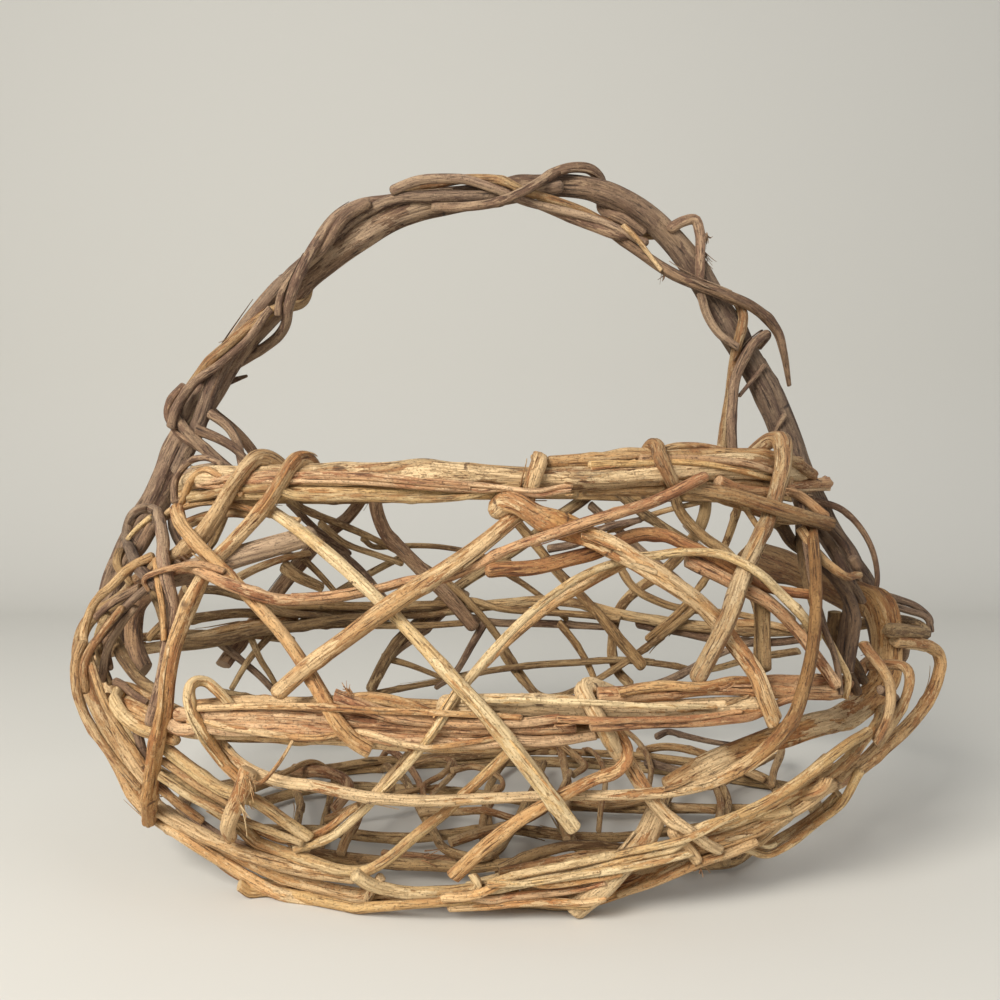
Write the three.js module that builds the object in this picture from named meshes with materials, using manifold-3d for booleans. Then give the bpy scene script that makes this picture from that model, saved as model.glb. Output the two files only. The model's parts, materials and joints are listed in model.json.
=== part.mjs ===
// Grapevine basket: an oval basket of hooked and woven vines under one bowed handle.
//
// The frame has +X along the basket, +Y from the front wall to the back wall and +Z up,
// in millimetres. The origin is on the table, under the middle of the basket.
//
// Every vine is one closed solid. Its route is a short list of places chosen by hand in a
// picture of the basket's front, where a place is a pixel and the surface that the vine
// lies on. The vines are then pressed apart until they bear on each other as they would
// in the hand, with a hair of clearance, and each one is skinned as a knotty tube.
import * as THREE from "three";
import { mergeVertices } from "three/addons/utils/BufferGeometryUtils.js";
import Module from "manifold-3d";

const wasm = await Module();
wasm.setup();

// Driving dimensions of the basket
const basketLength = 400;
const basketDepth = 245;
const rimHeight = 155;
const handleRise = 140;

// Thicknesses of the vines, from the stoutest to the thinnest
const bendDiameter = 14;
const bowDiameter = 12.5;
const forkDiameter = 8;
const hoopDiameter = 8.2;
const railDiameter = 7.2;
const stoutDiameter = 6.4;
const braceDiameter = 5.6;
const weaverDiameter = 4.9;
const strandDiameter = 4.2;

// How the vines lie on each other
const layerStep = 7;
const vineClearance = 0.35;
const gripReach = 3.2;
const flatDepth = 0.6;
const sinkReach = 3.5;

// How finely the vines are skinned
const longestRing = 30;
const shortestRing = 3.4;
const sampleStep = 1.5;
const bendPerRing = 0.42;
const sightSteps = 400;

// How the vines are pressed apart: sweeps that also draw near vines together, the most
// sweeps in all, sweeps between searches for near pairs, and the share of a gap that is
// closed, of a push that is spread or of a height that is sunk in one sweep. A lack of
// room under doneLack is none, and a number under hair counts as zero. Two places on one
// vine are one bend up to bendReachShare times its diameter apart.
const gripSweeps = 120;
const mostSweeps = 900;
const pairSweeps = 12;
const gripShare = 0.25;
const spreadShare = 0.35;
const sinkShare = 0.5;
const doneLack = 0.01;
const hair = 1e-6;
const bendReachShare = 4;

// Shape of the wall: height, half length and half depth, as shares of their full sizes
const wallShares = [
  [-0.05, 0.66, 0.7],
  [0.0, 0.7, 0.79],
  [0.05, 0.75, 0.84],
  [0.13, 0.83, 0.895],
  [0.32, 0.95, 0.98],
  [0.5, 0.985, 1.0],
  [0.71, 0.94, 0.94],
  [1.0, 0.765, 0.8],
  [1.2, 0.7, 0.74],
];
const planExponentShare = 2.3;

// The picture that the places are read in, 1000 pixels wide and high: one pixel, the
// middle, the horizon and the basket's main sizes as shares of the picture, and the
// eye's distance as a share of the basket's depth
const pixelShare = 0.001;
const middleShare = 0.5;
const horizonShare = 0.487;
const halfLengthShare = 0.43;
const rimHeightShare = 0.333;
const handleRiseShare = 0.301;
const viewDistanceShare = 1.9;

// Surfaces that a place can lie on. The last number of a place is a share of one layer
// step, out from a wall, up from the floor or behind the middle plane, and for deep it
// is a share of half the depth, behind the middle plane.
const front = "front wall";
const back = "back wall";
const floor = "floor";
const middle = "middle plane";
const deep = "depth";

// Barks, each with its colour and roughness
const barks = {
  taupe: { color: 0x857259, roughness: 0.82 },
  tan: { color: 0xb28f5f, roughness: 0.74 },
  straw: { color: 0xcfb181, roughness: 0.68 },
  red: { color: 0x8f6140, roughness: 0.72 },
  dark: { color: 0x6d5a41, roughness: 0.86 },
};

// Handle: one thick bow with its companion, its wraps and the ties at its feet
const handleVines = {
  handle_bow: {
    bark: "taupe", diameter: bowDiameter, tipShare: 0.85,
    pixelsAndShares: [
      [112, 640, middle, 2.9], [108, 600, middle, 1.7], [122, 560, middle, 0.9],
      [143, 522, middle, 0.3], [162, 485, middle, 0], [184, 440, middle, 0],
      [208, 397, middle, 0.3], [232, 355, middle, 0.6], [262, 318, middle, 0.6],
      [295, 286, middle, 0.4], [330, 259, middle, 0], [372, 234, middle, 0],
      [415, 213, middle, 0], [460, 203, middle, 0.3], [505, 196, middle, 0.4],
      [555, 189, middle, 0.3], [600, 193, middle, 0], [638, 211, middle, 0],
      [670, 240, middle, 0], [697, 275, middle, 0], [722, 314, middle, 0],
      [750, 360, middle, 0], [775, 407, middle, 0], [792, 450, middle, 0],
      [805, 492, middle, 0.3], [824, 530, middle, 0.6], [848, 566, middle, 0.9],
      [872, 602, middle, 1.1], [884, 650, middle, 1.7],
    ],
  },
  handle_companion: {
    bark: "taupe", diameter: railDiameter, tipShare: 0.7,
    pixelsAndShares: [
      [170, 470, middle, -1.6], [190, 425, middle, -1.6], [203, 385, middle, -1.4],
      [218, 350, middle, -1.3], [240, 315, middle, -1.1], [265, 285, middle, -1.1],
      [295, 258, middle, -1.3], [318, 238, middle, -1.4], [345, 215, middle, -1.3],
      [385, 200, middle, -1.1], [435, 194, middle, -1.3], [480, 190, middle, -1.3],
      [520, 184, middle, -1.1], [548, 180, middle, -0.9],
    ],
  },
  handle_wrap_1: {
    bark: "taupe", diameter: weaverDiameter,
    pixelsAndShares: [
      [236, 474, middle, -2.3], [214, 456, middle, -2], [192, 436, middle, -1.9],
      [176, 418, middle, -1.3], [171, 403, middle, 0], [184, 388, middle, 1.4],
      [208, 378, middle, 1.4], [234, 368, middle, 0.4],
    ],
  },
  handle_wrap_2: {
    bark: "tan", diameter: weaverDiameter,
    pixelsAndShares: [
      [192, 392, middle, -0.6], [205, 372, middle, -2], [232, 348, middle, -2.4],
      [258, 325, middle, -2.1], [280, 308, middle, -1.6], [292, 296, middle, -0.3],
      [300, 280, middle, 1.1], [316, 262, middle, 1.7], [334, 240, middle, 1.3],
      [345, 216, middle, 0.7], [358, 200, middle, 0.3],
    ],
  },
  handle_wrap_3: {
    bark: "taupe", diameter: weaverDiameter,
    pixelsAndShares: [
      [218, 368, middle, 1.7], [245, 354, middle, 1.3], [270, 342, middle, 0.6],
      [284, 328, middle, -0.4], [289, 312, middle, -1.3], [292, 292, middle, -2.1],
      [300, 270, middle, -2.4], [312, 250, middle, -2.1], [330, 222, middle, -1.4],
      [350, 205, middle, -0.6], [385, 196, middle, 0.4], [425, 192, middle, 1],
    ],
  },
  handle_wrap_4: {
    bark: "tan", diameter: weaverDiameter,
    pixelsAndShares: [
      [395, 192, middle, -0.9], [412, 184, middle, -0.6], [435, 178, middle, -0.1],
      [462, 177, middle, -0.3], [490, 184, middle, -1.1], [515, 194, middle, -1.7],
      [540, 203, middle, -1.4], [565, 211, middle, -0.9], [592, 221, middle, -0.3],
      [620, 234, middle, 0.3], [645, 240, middle, 0.9], [662, 238, middle, 1.4],
    ],
  },
  handle_wrap_5: {
    bark: "taupe", diameter: weaverDiameter,
    pixelsAndShares: [
      [430, 211, middle, -0.9], [460, 210, middle, -1.6], [490, 205, middle, -2],
      [515, 195, middle, -2.1], [535, 183, middle, -2], [552, 174, middle, -1.1],
      [575, 172, middle, -0.3], [597, 178, middle, 0.7], [608, 192, middle, 1.7],
      [610, 210, middle, 1.1], [625, 224, middle, 0.3], [650, 236, middle, 0.3],
    ],
  },
  handle_wrap_6: {
    bark: "taupe", diameter: weaverDiameter,
    pixelsAndShares: [
      [596, 226, middle, -0.9], [622, 245, middle, -1.1], [652, 264, middle, -1.3],
      [682, 283, middle, -1.7], [712, 295, middle, -2], [742, 308, middle, -1.7],
      [765, 322, middle, -1.1], [779, 338, middle, -0.6], [786, 362, middle, -0.3],
      [791, 390, middle, 0.4],
    ],
  },
  handle_tie_1: {
    bark: "tan", diameter: weaverDiameter,
    pixelsAndShares: [
      [722, 300, middle, 1.4], [738, 294, middle, 0], [748, 306, middle, -1.3],
      [743, 335, middle, -1.9], [736, 370, middle, -1.1], [730, 410, middle, -0.9],
      [725, 447, middle, -1.1], [722, 478, middle, -1.7],
    ],
  },
  handle_tie_2: {
    bark: "taupe", diameter: weaverDiameter,
    pixelsAndShares: [
      [762, 356, middle, 1.4], [772, 343, middle, 0], [762, 352, middle, -1.4],
      [748, 368, middle, -1.7], [738, 392, middle, -1.9], [734, 425, middle, -2],
      [732, 455, middle, -2], [734, 485, middle, -1.4],
    ],
  },
  handle_tie_3: {
    bark: "taupe", diameter: weaverDiameter,
    pixelsAndShares: [
      [196, 400, middle, 1.7], [215, 416, middle, 1.4], [236, 433, middle, 1.7],
      [256, 456, middle, 2.6], [268, 480, middle, 3.7],
    ],
  },
};

// Rim: bundled rods along the front and the back, closed by a turn at each end
const rimVines = {
  rim_front_main: {
    bark: "tan", diameter: hoopDiameter,
    pixelsAndShares: [
      [182, 484, deep, -0.2], [215, 478, front, 0], [300, 475, front, 0],
      [375, 471, front, 0], [440, 467, front, 0], [520, 471, front, 0],
      [620, 474, front, 0], [700, 470, front, 0], [760, 470, front, 0],
      [800, 478, deep, -0.18],
    ],
  },
  rim_front_lower: {
    bark: "straw", diameter: weaverDiameter,
    pixelsAndShares: [
      [186, 496, deep, -0.25], [225, 492, front, -0.2], [300, 492, front, 0],
      [400, 495, front, 0], [470, 496, front, 0], [520, 493, front, 0],
      [572, 492, front, 0],
    ],
  },
  rim_front_upper: {
    bark: "tan", diameter: weaverDiameter,
    pixelsAndShares: [
      [556, 461, front, -0.5], [600, 457, front, -0.3], [640, 451, front, 0],
      [690, 448, front, 0], [740, 453, front, 0], [775, 466, front, 0],
      [806, 486, deep, -0.15],
    ],
  },
  rim_back_main: {
    bark: "dark", diameter: hoopDiameter,
    pixelsAndShares: [
      [206, 494, deep, 0.28], [240, 484, back, 0], [330, 478, back, 0],
      [420, 476, back, 0], [520, 475, back, 0], [620, 476, back, 0],
      [720, 480, back, 0], [790, 492, deep, 0.3],
    ],
  },
  rim_back_lower: {
    bark: "dark", diameter: stoutDiameter,
    pixelsAndShares: [
      [222, 505, deep, 0.43], [262, 497, back, 0], [350, 495, back, 0],
      [450, 490, back, 0], [560, 490, back, 0], [660, 494, back, 0],
      [740, 500, back, 0],
    ],
  },
  rim_left_end: {
    bark: "taupe", diameter: stoutDiameter,
    pixelsAndShares: [
      [232, 470, front, -1.1], [205, 470, deep, -0.28], [190, 478, deep, -0.13],
      [184, 490, deep, 0.03], [192, 488, deep, 0.2], [214, 480, deep, 0.38],
    ],
  },
  rim_right_end: {
    bark: "red", diameter: stoutDiameter,
    pixelsAndShares: [
      [735, 482, front, -0.9], [772, 484, deep, -0.31], [800, 488, deep, -0.16],
      [812, 492, deep, -0.05], [806, 492, deep, 0.21], [770, 490, deep, 0.47],
    ],
  },
};

// Front wall: hooks over the rim and the open lattice of crossing braces
const frontVines = {
  hook_left: {
    bark: "tan", diameter: braceDiameter, tipShare: 0.75,
    pixelsAndShares: [
      [292, 474, front, -1.2], [284, 462, front, -0.6], [268, 455, front, 0.3],
      [250, 470, front, 1], [228, 498, front, 0.9], [208, 527, front, 0.6],
      [180, 549, front, 0.1], [150, 566, front, 0.3], [118, 588, deep, -0.23],
      [86, 616, deep, -0.11], [82, 640, deep, -0.13], [90, 670, deep, -0.21],
      [106, 712, deep, -0.28], [130, 755, deep, -0.34], [148, 788, deep, -0.41],
      [172, 818, front, 0.5], [210, 842, front, 0.6], [256, 862, front, 0.7],
      [306, 876, front, 0.8], [356, 885, front, 0.8],
    ],
  },
  hook_second: {
    bark: "tan", diameter: weaverDiameter, tipShare: 1.1,
    pixelsAndShares: [
      [334, 476, front, -1.2], [328, 460, front, -0.4], [316, 455, front, 0.5],
      [303, 468, front, 1], [284, 497, front, 1.1], [262, 521, front, 0.8],
      [222, 566, front, -0.1], [204, 590, front, 0.2], [184, 628, front, 0.6],
      [167, 670, front, 1], [158, 712, front, 1.2], [151, 755, front, 1.2],
      [148, 800, front, 1], [150, 822, front, 0.8],
    ],
  },
  long_brace_right: {
    bark: "straw", diameter: weaverDiameter, tipShare: 1.15,
    pixelsAndShares: [
      [257, 507, front, 0.6], [285, 527, front, 0.5], [318, 553, front, 0.6],
      [355, 587, front, 0.3], [392, 620, front, 0.5], [440, 668, front, 1.1],
      [485, 714, front, 1.5], [525, 760, front, 1.4], [555, 795, front, 1.4],
      [575, 820, front, 1.5],
    ],
  },
  long_brace_left: {
    bark: "tan", diameter: braceDiameter, tipShare: 1.12,
    pixelsAndShares: [
      [545, 470, front, -1.1], [541, 454, front, -0.3], [534, 456, front, 0.8],
      [524, 474, front, 1.1], [510, 504, front, 0.5], [478, 540, front, 0.6],
      [430, 578, front, 1], [380, 612, front, 1.3], [330, 648, front, 1.3],
      [300, 670, front, 1.3], [276, 692, front, 1.2],
    ],
  },
  knotty_brace: {
    bark: "tan", diameter: stoutDiameter, tipShare: 0.8,
    pixelsAndShares: [
      [488, 507, front, 0.6], [505, 499, front, 1.4], [535, 514, front, 1.3],
      [570, 530, front, 0.9], [615, 553, front, 1], [660, 583, front, 0.9],
      [700, 615, front, 0.3], [724, 643, front, 0.1], [748, 672, front, 0.5],
      [762, 700, front, 1.1], [772, 722, front, 1.2],
    ],
  },
  corner_hook: {
    bark: "tan", diameter: braceDiameter,
    pixelsAndShares: [
      [742, 462, front, -1.1], [750, 442, front, -0.5], [766, 434, front, 0.3],
      [780, 452, front, 1], [780, 482, front, 1.1], [772, 512, front, 0.9],
      [758, 542, front, 0.9], [744, 575, front, 0.9], [732, 608, front, 1],
      [715, 642, front, 1.1], [698, 672, front, 0.7],
    ],
  },
  rim_hook: {
    bark: "tan", diameter: strandDiameter,
    pixelsAndShares: [
      [630, 460, front, -1], [630, 444, front, -0.5], [640, 438, front, 0.3],
      [650, 450, front, 1], [662, 468, front, 1.1], [678, 490, front, 0.8],
      [717, 498, front, 1.1], [760, 510, front, 1.5], [795, 522, front, 1.5],
      [826, 531, front, 1],
    ],
  },
  red_strand: {
    bark: "red", diameter: strandDiameter,
    pixelsAndShares: [
      [144, 577, front, 0.2], [168, 566, front, 0.9], [200, 567, front, 1.2],
      [232, 582, front, 1.3], [266, 596, front, 0.6], [310, 596, front, 0],
      [360, 588, front, -0.2], [408, 578, front, -0.1], [452, 578, front, -0.3],
      [500, 556, front, 0.2], [550, 537, front, 1.2], [590, 520, front, 1.6],
      [640, 503, front, 1], [680, 486, front, 1], [702, 474, front, 1.1],
    ],
  },
  arching_strand: {
    bark: "straw", diameter: strandDiameter,
    pixelsAndShares: [
      [812, 632, front, -0.1], [800, 612, front, 0.6], [775, 582, front, 1],
      [748, 562, front, 1.5], [715, 549, front, 1], [675, 552, front, 0.2],
      [640, 560, front, -0.3], [600, 572, front, 0.1], [555, 596, front, 0.4],
      [510, 632, front, 0.5], [468, 676, front, 0.6], [430, 722, front, 0.9],
      [398, 762, front, 0.6], [372, 792, front, 0.1], [350, 812, front, -0.1],
      [318, 833, front, 0.3], [285, 842, front, 0.6],
    ],
  },
  knee_brace: {
    bark: "tan", diameter: braceDiameter,
    pixelsAndShares: [
      [188, 511, front, 0.2], [196, 532, front, 0.9], [218, 562, front, 0.6],
      [248, 596, front, 0.6], [276, 630, front, 0.8], [300, 665, front, 0.5],
      [322, 702, front, 1], [342, 732, front, 1.1], [362, 744, front, 0.8],
    ],
  },
  swept_stake: {
    bark: "tan", diameter: weaverDiameter, tipShare: 0.8,
    pixelsAndShares: [
      [812, 520, front, 0.8], [815, 560, front, 1.2], [815, 605, front, 1.2],
      [811, 645, front, 1.2], [800, 690, front, 1.2], [786, 724, front, 1.5],
      [755, 760, front, 1.2], [712, 788, front, 0.9], [660, 801, front, 0.8],
      [600, 804, front, 0.6], [520, 803, front, 0.4], [440, 804, front, 0.4],
      [375, 799, front, 0.6], [310, 786, front, 0.3], [262, 777, front, -0.1],
      [232, 756, front, -0.4], [218, 735, front, -0.8],
    ],
  },
  looped_hook: {
    bark: "straw", diameter: strandDiameter,
    pixelsAndShares: [
      [236, 704, front, -1.1], [224, 690, front, -0.9], [204, 677, front, -0.3],
      [188, 682, front, 0.7], [184, 702, front, 1.2], [194, 732, front, 1.3],
      [212, 762, front, 0.9], [236, 787, front, 0.7],
    ],
  },
  right_brace: {
    bark: "red", diameter: stoutDiameter, tipShare: 0.6,
    pixelsAndShares: [
      [690, 560, front, -0.8], [742, 586, front, -0.2], [775, 604, front, 0.1],
      [805, 630, front, 0.1], [824, 652, front, 0.1], [845, 680, front, 0.2],
    ],
  },
  wedge_hook: {
    bark: "tan", diameter: stoutDiameter, tipShare: 0.6,
    pixelsAndShares: [
      [632, 690, front, -1.2], [610, 682, front, -0.8], [592, 685, front, 0.2],
      [590, 702, front, 1.1], [600, 730, front, 1.3], [612, 756, front, 0.9],
      [620, 770, front, 0.5],
    ],
  },
  bent_brace: {
    bark: "tan", diameter: weaverDiameter, tipShare: 1.15,
    pixelsAndShares: [
      [611, 712, front, -0.9], [619, 733, front, -0.2], [630, 759, front, 0.3],
      [624, 776, front, 0.4], [596, 788, front, 0.5], [560, 808, front, 0.9],
      [520, 832, front, 1.2], [484, 860, front, 1.2], [456, 887, front, 1.2],
    ],
  },
  low_left_sweep: {
    bark: "straw", diameter: weaverDiameter, tipShare: 0.85,
    pixelsAndShares: [
      [112, 700, deep, -0.16], [128, 742, deep, -0.28], [150, 768, front, -0.1],
      [186, 790, front, 0.2], [226, 815, front, 0.2], [258, 842, front, 0.3],
      [300, 858, front, 0.6], [335, 869, front, 0.9], [366, 868, front, 1],
      [400, 843, front, 0.8], [440, 811, front, -0.2], [472, 782, front, 0.1],
      [508, 750, front, 0.7],
    ],
  },
  left_post: {
    bark: "taupe", diameter: weaverDiameter,
    pixelsAndShares: [
      [138, 588, front, 0.9], [124, 572, front, 0.9], [114, 550, front, 0.9],
      [117, 526, front, 0.9], [130, 508, front, 0.8], [146, 506, front, 0.6],
      [156, 522, front, 0.7], [160, 548, front, 0.9], [163, 575, front, 0.5],
      [166, 610, front, 0.3], [162, 650, front, 0.2], [156, 692, front, 0.5],
      [150, 722, front, 0.9],
    ],
  },
  forked_vine: {
    bark: "taupe", diameter: forkDiameter,
    pixelsAndShares: [
      [310, 545, front, -0.9], [270, 556, front, -0.9], [228, 568, front, -0.8],
      [184, 580, front, -0.6], [149, 598, deep, -0.33], [135, 622, deep, -0.23],
      [134, 650, deep, -0.23], [144, 676, deep, -0.28],
    ],
  },
};

// Belly hoop: the stout bundle round the widest part of the wall
const bellyVines = {
  belly_left_hoop: {
    bark: "tan", diameter: railDiameter, tipShare: 0.7,
    pixelsAndShares: [
      [300, 618, back, 0], [250, 624, back, 0], [205, 637, back, 0],
      [150, 652, deep, 0.49], [110, 655, deep, 0.18], [99, 668, deep, -0.03],
      [108, 690, deep, -0.33], [140, 712, front, 0], [185, 731, front, 0],
      [250, 736, front, 0], [330, 739, front, -0.1], [400, 744, front, -0.1],
      [470, 745, front, -0.1], [535, 740, front, -0.1],
    ],
  },
  belly_front_left: {
    bark: "red", diameter: railDiameter,
    pixelsAndShares: [
      [190, 709, front, -0.1], [240, 709, front, 0], [320, 712, front, 0],
      [400, 720, front, 0], [470, 724, front, 0], [530, 726, front, 0],
      [572, 724, front, 0],
    ],
  },
  belly_front_right: {
    bark: "tan", diameter: hoopDiameter,
    pixelsAndShares: [
      [455, 704, front, -0.1], [520, 702, front, 0], [600, 706, front, 0],
      [680, 711, front, 0], [756, 712, front, 0],
    ],
  },
  belly_front_upper: {
    bark: "red", diameter: braceDiameter,
    pixelsAndShares: [
      [610, 692, front, -0.2], [660, 686, front, 0], [710, 680, front, 0],
      [760, 683, front, 0], [806, 686, front, 0], [846, 688, front, -0.3],
      [880, 668, deep, -0.25], [896, 652, deep, 0], [880, 640, deep, 0.28],
    ],
  },
  belly_back_hoop: {
    bark: "dark", diameter: stoutDiameter,
    pixelsAndShares: [
      [272, 602, back, 0], [350, 608, back, 0], [420, 611, back, 0],
      [500, 604, back, 0], [560, 600, back, 0], [620, 613, back, 0],
      [700, 628, back, 0], [780, 633, back, 0], [850, 628, deep, 0.51],
      [905, 622, deep, 0.23], [928, 628, deep, 0.03], [932, 636, deep, -0.13],
      [900, 636, deep, -0.36],
    ],
  },
  big_bend: {
    bark: "tan", diameter: bendDiameter, tipShare: 0.55,
    pixelsAndShares: [
      [752, 548, deep, 0.39], [800, 568, deep, 0.24], [846, 590, deep, 0.05],
      [880, 606, deep, -0.15], [887, 640, deep, -0.21], [880, 684, deep, -0.28],
      [850, 716, deep, -0.46], [806, 730, front, -0.9], [760, 745, front, -1],
      [715, 762, front, -1], [670, 788, front, -1.1],
    ],
  },
};

// Base: the hoops that the basket stands on and the sweeps that rise from them
const baseVines = {
  outer_left_sweep: {
    bark: "tan", diameter: weaverDiameter, tipShare: 0.8, standsOnTable: true,
    pixelsAndShares: [
      [292, 646, back, 0.6], [246, 640, back, 0.6], [200, 636, back, 0.5],
      [158, 632, deep, 0.5], [122, 630, deep, 0.28], [96, 640, deep, 0.1],
      [80, 664, deep, -0.04], [76, 692, deep, -0.13],
      [86, 720, deep, -0.21], [112, 752, deep, -0.33], [138, 798, deep, -0.42],
      [158, 822, deep, -0.5], [194, 846, front, 0.6], [238, 872, front, 0.9],
      [288, 894, front, 1.3], [336, 906, front, 1.5], [384, 909, front, 1.4],
    ],
  },
  base_front_left: {
    bark: "tan", diameter: weaverDiameter, standsOnTable: true,
    pixelsAndShares: [
      [164, 814, front, -0.1], [200, 840, front, 0], [250, 864, front, 0.2],
      [300, 884, front, 0.4], [350, 896, front, 0.6], [400, 903, front, 0.6],
      [466, 905, front, 0.5],
    ],
  },
  base_front_right: {
    bark: "tan", diameter: stoutDiameter, standsOnTable: true,
    pixelsAndShares: [
      [478, 905, front, 0.5], [530, 905, front, 0.5], [590, 896, front, 0.4],
      [640, 880, front, 0.2], [690, 858, front, 0.1], [740, 832, front, 0],
      [790, 802, front, 0], [830, 768, front, 0],
    ],
  },
  right_sweep: {
    bark: "straw", diameter: strandDiameter,
    pixelsAndShares: [
      [470, 884, front, -0.8], [520, 874, front, -0.5], [580, 862, front, 0],
      [640, 850, front, 0.5], [700, 834, front, 0.9], [750, 810, front, 0.9],
      [800, 781, front, 1], [840, 751, front, 0.9], [868, 724, front, 0.7],
      [880, 700, deep, -0.34],
    ],
  },
  outer_right_sweep: {
    bark: "tan", diameter: weaverDiameter,
    pixelsAndShares: [
      [878, 634, deep, -0.25], [912, 640, deep, -0.11], [933, 658, deep, -0.05],
      [930, 688, deep, -0.11], [908, 724, deep, -0.21], [882, 750, deep, -0.31],
      [850, 778, deep, -0.42], [812, 802, front, 0.6], [770, 825, front, 0.6],
      [728, 843, front, 0.7], [680, 864, front, 1], [630, 882, front, 1.2],
      [576, 896, front, 1.4], [520, 904, front, 1.5],
    ],
  },
  low_right_bend: {
    bark: "straw", diameter: strandDiameter,
    pixelsAndShares: [
      [842, 796, front, 0.3], [806, 832, front, 0.3], [772, 855, front, 0.6],
      [748, 851, front, 0.5], [722, 843, front, -0.1],
    ],
  },
  base_back: {
    bark: "dark", diameter: stoutDiameter, standsOnTable: true,
    pixelsAndShares: [
      [182, 806, deep, -0.08], [190, 790, deep, 0.24], [240, 772, back, -0.3],
      [330, 771, back, -0.3], [430, 770, back, -0.3], [540, 770, back, -0.3],
      [650, 771, back, -0.3], [740, 774, back, -0.3], [806, 788, deep, 0.28],
      [818, 800, deep, -0.05],
    ],
  },
  foot_peg: {
    bark: "tan", diameter: railDiameter,
    pixelsAndShares: [
      [584, 915, front, 2.4], [604, 897, front, 2.2], [626, 872, front, 1.7],
      [645, 846, front, 0.6], [660, 815, front, -0.3],
    ],
  },
};

// Back wall: thinner vines that hook over the back rim and cross behind the belly hoop
const backVines = {
  back_weaver_1: {
    bark: "dark", diameter: stoutDiameter,
    pixelsAndShares: [
      [373, 690, back, -0.5], [397, 645, back, 0.6], [423, 620, back, 1],
      [455, 590, back, 1], [480, 573, back, 0.9], [520, 548, back, 0.9],
      [562, 518, back, 0.9], [596, 492, back, 1], [608, 470, back, 0],
      [618, 490, back, -1.1], [647, 517, back, -0.9], [683, 542, back, -0.8],
      [720, 566, back, -0.8], [755, 592, back, -0.8], [790, 622, back, -0.9],
    ],
  },
  back_weaver_2: {
    bark: "dark", diameter: stoutDiameter,
    pixelsAndShares: [
      [634, 682, back, 0.4], [618, 662, back, 0.9], [616, 640, back, 1],
      [622, 612, back, 1], [640, 590, back, 0.9], [665, 572, back, 0.9],
      [690, 545, back, 0.9], [706, 515, back, 1], [706, 486, back, 1],
      [690, 466, back, 0], [672, 488, back, -1], [693, 527, back, -0.9],
      [723, 548, back, -0.9], [740, 564, back, -0.9], [757, 598, back, -1],
      [758, 652, back, -0.8],
    ],
  },
  back_weaver_3: {
    bark: "taupe", diameter: stoutDiameter,
    pixelsAndShares: [
      [225, 672, back, 0.5], [248, 640, back, 1], [272, 602, back, 1],
      [295, 570, back, 0.8], [318, 543, back, 0.8], [345, 520, back, 0.8],
      [360, 496, back, 1], [366, 468, back, 0], [372, 496, back, -1.1],
      [383, 533, back, -0.8], [420, 570, back, -0.7], [452, 604, back, -0.8],
      [470, 628, back, -0.8],
    ],
  },
  back_weaver_4: {
    bark: "dark", diameter: strandDiameter,
    pixelsAndShares: [
      [285, 492, back, -0.8], [298, 512, back, -0.8], [335, 533, back, -0.6],
      [375, 552, back, -0.4], [417, 575, back, 0], [455, 600, back, -0.7],
      [490, 632, back, -0.6], [515, 668, back, 0.3], [540, 698, back, 0.7],
      [570, 692, back, 0.5], [623, 663, back, -0.1], [660, 635, back, -0.7],
      [692, 608, back, -0.8],
    ],
  },
  back_brace: {
    bark: "dark", diameter: stoutDiameter,
    pixelsAndShares: [
      [500, 490, back, -0.9], [508, 508, back, -0.8], [530, 536, back, -0.4],
      [562, 573, back, -0.5], [591, 603, back, -0.9], [611, 630, back, -0.8],
      [640, 664, back, -0.3],
    ],
  },
  back_low_strand: {
    bark: "dark", diameter: strandDiameter,
    pixelsAndShares: [
      [214, 690, back, 0], [300, 704, back, 0], [367, 695, back, 0],
      [440, 682, back, 0], [500, 671, back, 0], [560, 667, back, 0],
      [620, 665, back, 0], [673, 668, back, 0], [700, 674, back, 0],
      [747, 664, back, 0], [802, 655, back, 0],
    ],
  },
};

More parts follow.
